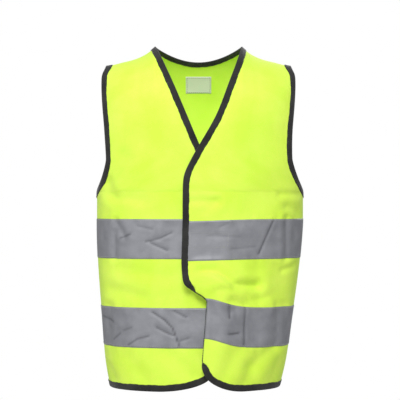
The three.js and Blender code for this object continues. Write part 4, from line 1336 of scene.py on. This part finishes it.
def side_strip(column_first, step):
    grid = GRIDS["back"]
    rows = slice(row_at(12), row_at(UNDERARM - 8))
    columns = [column_first + step * k for k in range(5)]
    return grid["at"][rows][:, columns], grid["normal"][rows][:, columns]

def shoulder_strip(columns):
    grid = GRIDS["back"]
    rows = [-5, -4, -3, -2]
    at = np.swapaxes(grid["at"][rows][:, columns], 0, 1)
    return at, np.swapaxes(grid["normal"][rows][:, columns], 0, 1)

seam_band("left_side_band", side_strip(1, 1), ["left_side_seam"])
seam_band("right_side_band", side_strip(-2, -1), ["right_side_seam"])
seam_band("left_shoulder_band", shoulder_strip(slice(8, BACK_SIDE_COLUMNS - 6)), ["left_shoulder_seam"])
seam_band("right_shoulder_band", shoulder_strip(slice(-(BACK_SIDE_COLUMNS - 6), -8)), ["right_shoulder_seam"])

# %% [markdown]
# ## Pieces on the back
# Each panel hangs from the shoulders. The pieces on the back are gathered in one list, and the cloth areas
# are printed.

on_back = [TAPES["lower", "back"], TAPES["upper", "back"]]
on_back += [BINDINGS[name][0] for name in ("back_neck_binding", "back_hem_binding",
                                           "left_armhole_strip", "right_armhole_strip")]
print("cut areas", round(back_area, 3), round(left_area, 3), round(right_area, 3), "square metres")

# %% [markdown]
# ## Light and floor
# The vest is lit as for a shop picture. The camera sees the sky as white, but the sky lights the vest at
# about a third of that, so that the lamps can give a direction and show the billow and the creases. A
# soft lamp hangs above and in front, a weaker one fills from the side, and a third lights the back. The
# floor is pale and far below.

# %% Floor
FLOOR_Z = -0.95
FLOOR_RADIUS = 1.5
FLOOR_SIDES = 64
floor_points = [(0, 0, FLOOR_Z)]
for k in range(FLOOR_SIDES):
    turn = 2 * math.pi * k / FLOOR_SIDES
    floor_points.append((FLOOR_RADIUS * math.cos(turn), FLOOR_RADIUS * math.sin(turn), FLOOR_Z))
floor_mesh = bpy.data.meshes.new("studio_floor")
floor_mesh.from_pydata(floor_points, [], [(0, 1 + k, 1 + (k + 1) % FLOOR_SIDES) for k in range(FLOOR_SIDES)])
floor_paint = bpy.data.materials.new("pale_floor")
floor_paint.use_nodes = True
floor_paint.node_tree.nodes["Principled BSDF"].inputs["Base Color"].default_value = (0.86, 0.86, 0.86, 1)
floor_paint.node_tree.nodes["Principled BSDF"].inputs["Roughness"].default_value = 0.8
floor_mesh.materials.append(floor_paint)
floor = bpy.data.objects.new("studio_floor", floor_mesh)
bpy.context.scene.collection.objects.link(floor)

# %% World and lamps
world = bpy.data.worlds.new("studio_light")
world.use_nodes = True
bpy.context.scene.world = world
SKY_LIGHT = 0.36
sky = world.node_tree.nodes["Background"]
sky.inputs["Color"].default_value = (1, 1, 1, 1)
seen = add(world.node_tree, "ShaderNodeLightPath").outputs["Is Camera Ray"]
strength = add(world.node_tree, "ShaderNodeMapRange", {"Value": seen, "To Min": SKY_LIGHT, "To Max": 1.0})
world.node_tree.links.new(strength.outputs["Result"], sky.inputs["Strength"])
bpy.context.scene.view_settings.view_transform = "Standard"

def area_lamp(name, place, target, size, power):
    data = bpy.data.lights.new(name, "AREA")
    data.shape = "RECTANGLE"
    data.size, data.size_y = size
    data.energy = power
    lamp = bpy.data.objects.new(name, data)
    bpy.context.scene.collection.objects.link(lamp)
    lamp.location = place
    lamp.rotation_euler = (Vector(target) - Vector(place)).to_track_quat("-Z", "Y").to_euler()

MIDDLE = (0, 0, (low[2] + high[2]) / 2)
area_lamp("key_softbox", (-0.13, -1.25, 0.85), (0, 0, -0.12), (0.7, 0.6), 19)
area_lamp("fill_softbox", (-1.3, -1.6, 0.1), MIDDLE, (0.8, 0.8), 4)
area_lamp("back_softbox", (0.5, 1.5, 0.7), MIDDLE, (1.0, 0.8), 18)

# %% [markdown]
# ## Sizes, and the end
# The last step prints the box of the plain solids.

# %% Print the box of the plain solids
def corners(bounds):
    return [[float(v) for v in corner] for corner in bounds]

print("CAD box", corners(CAD_BOX))
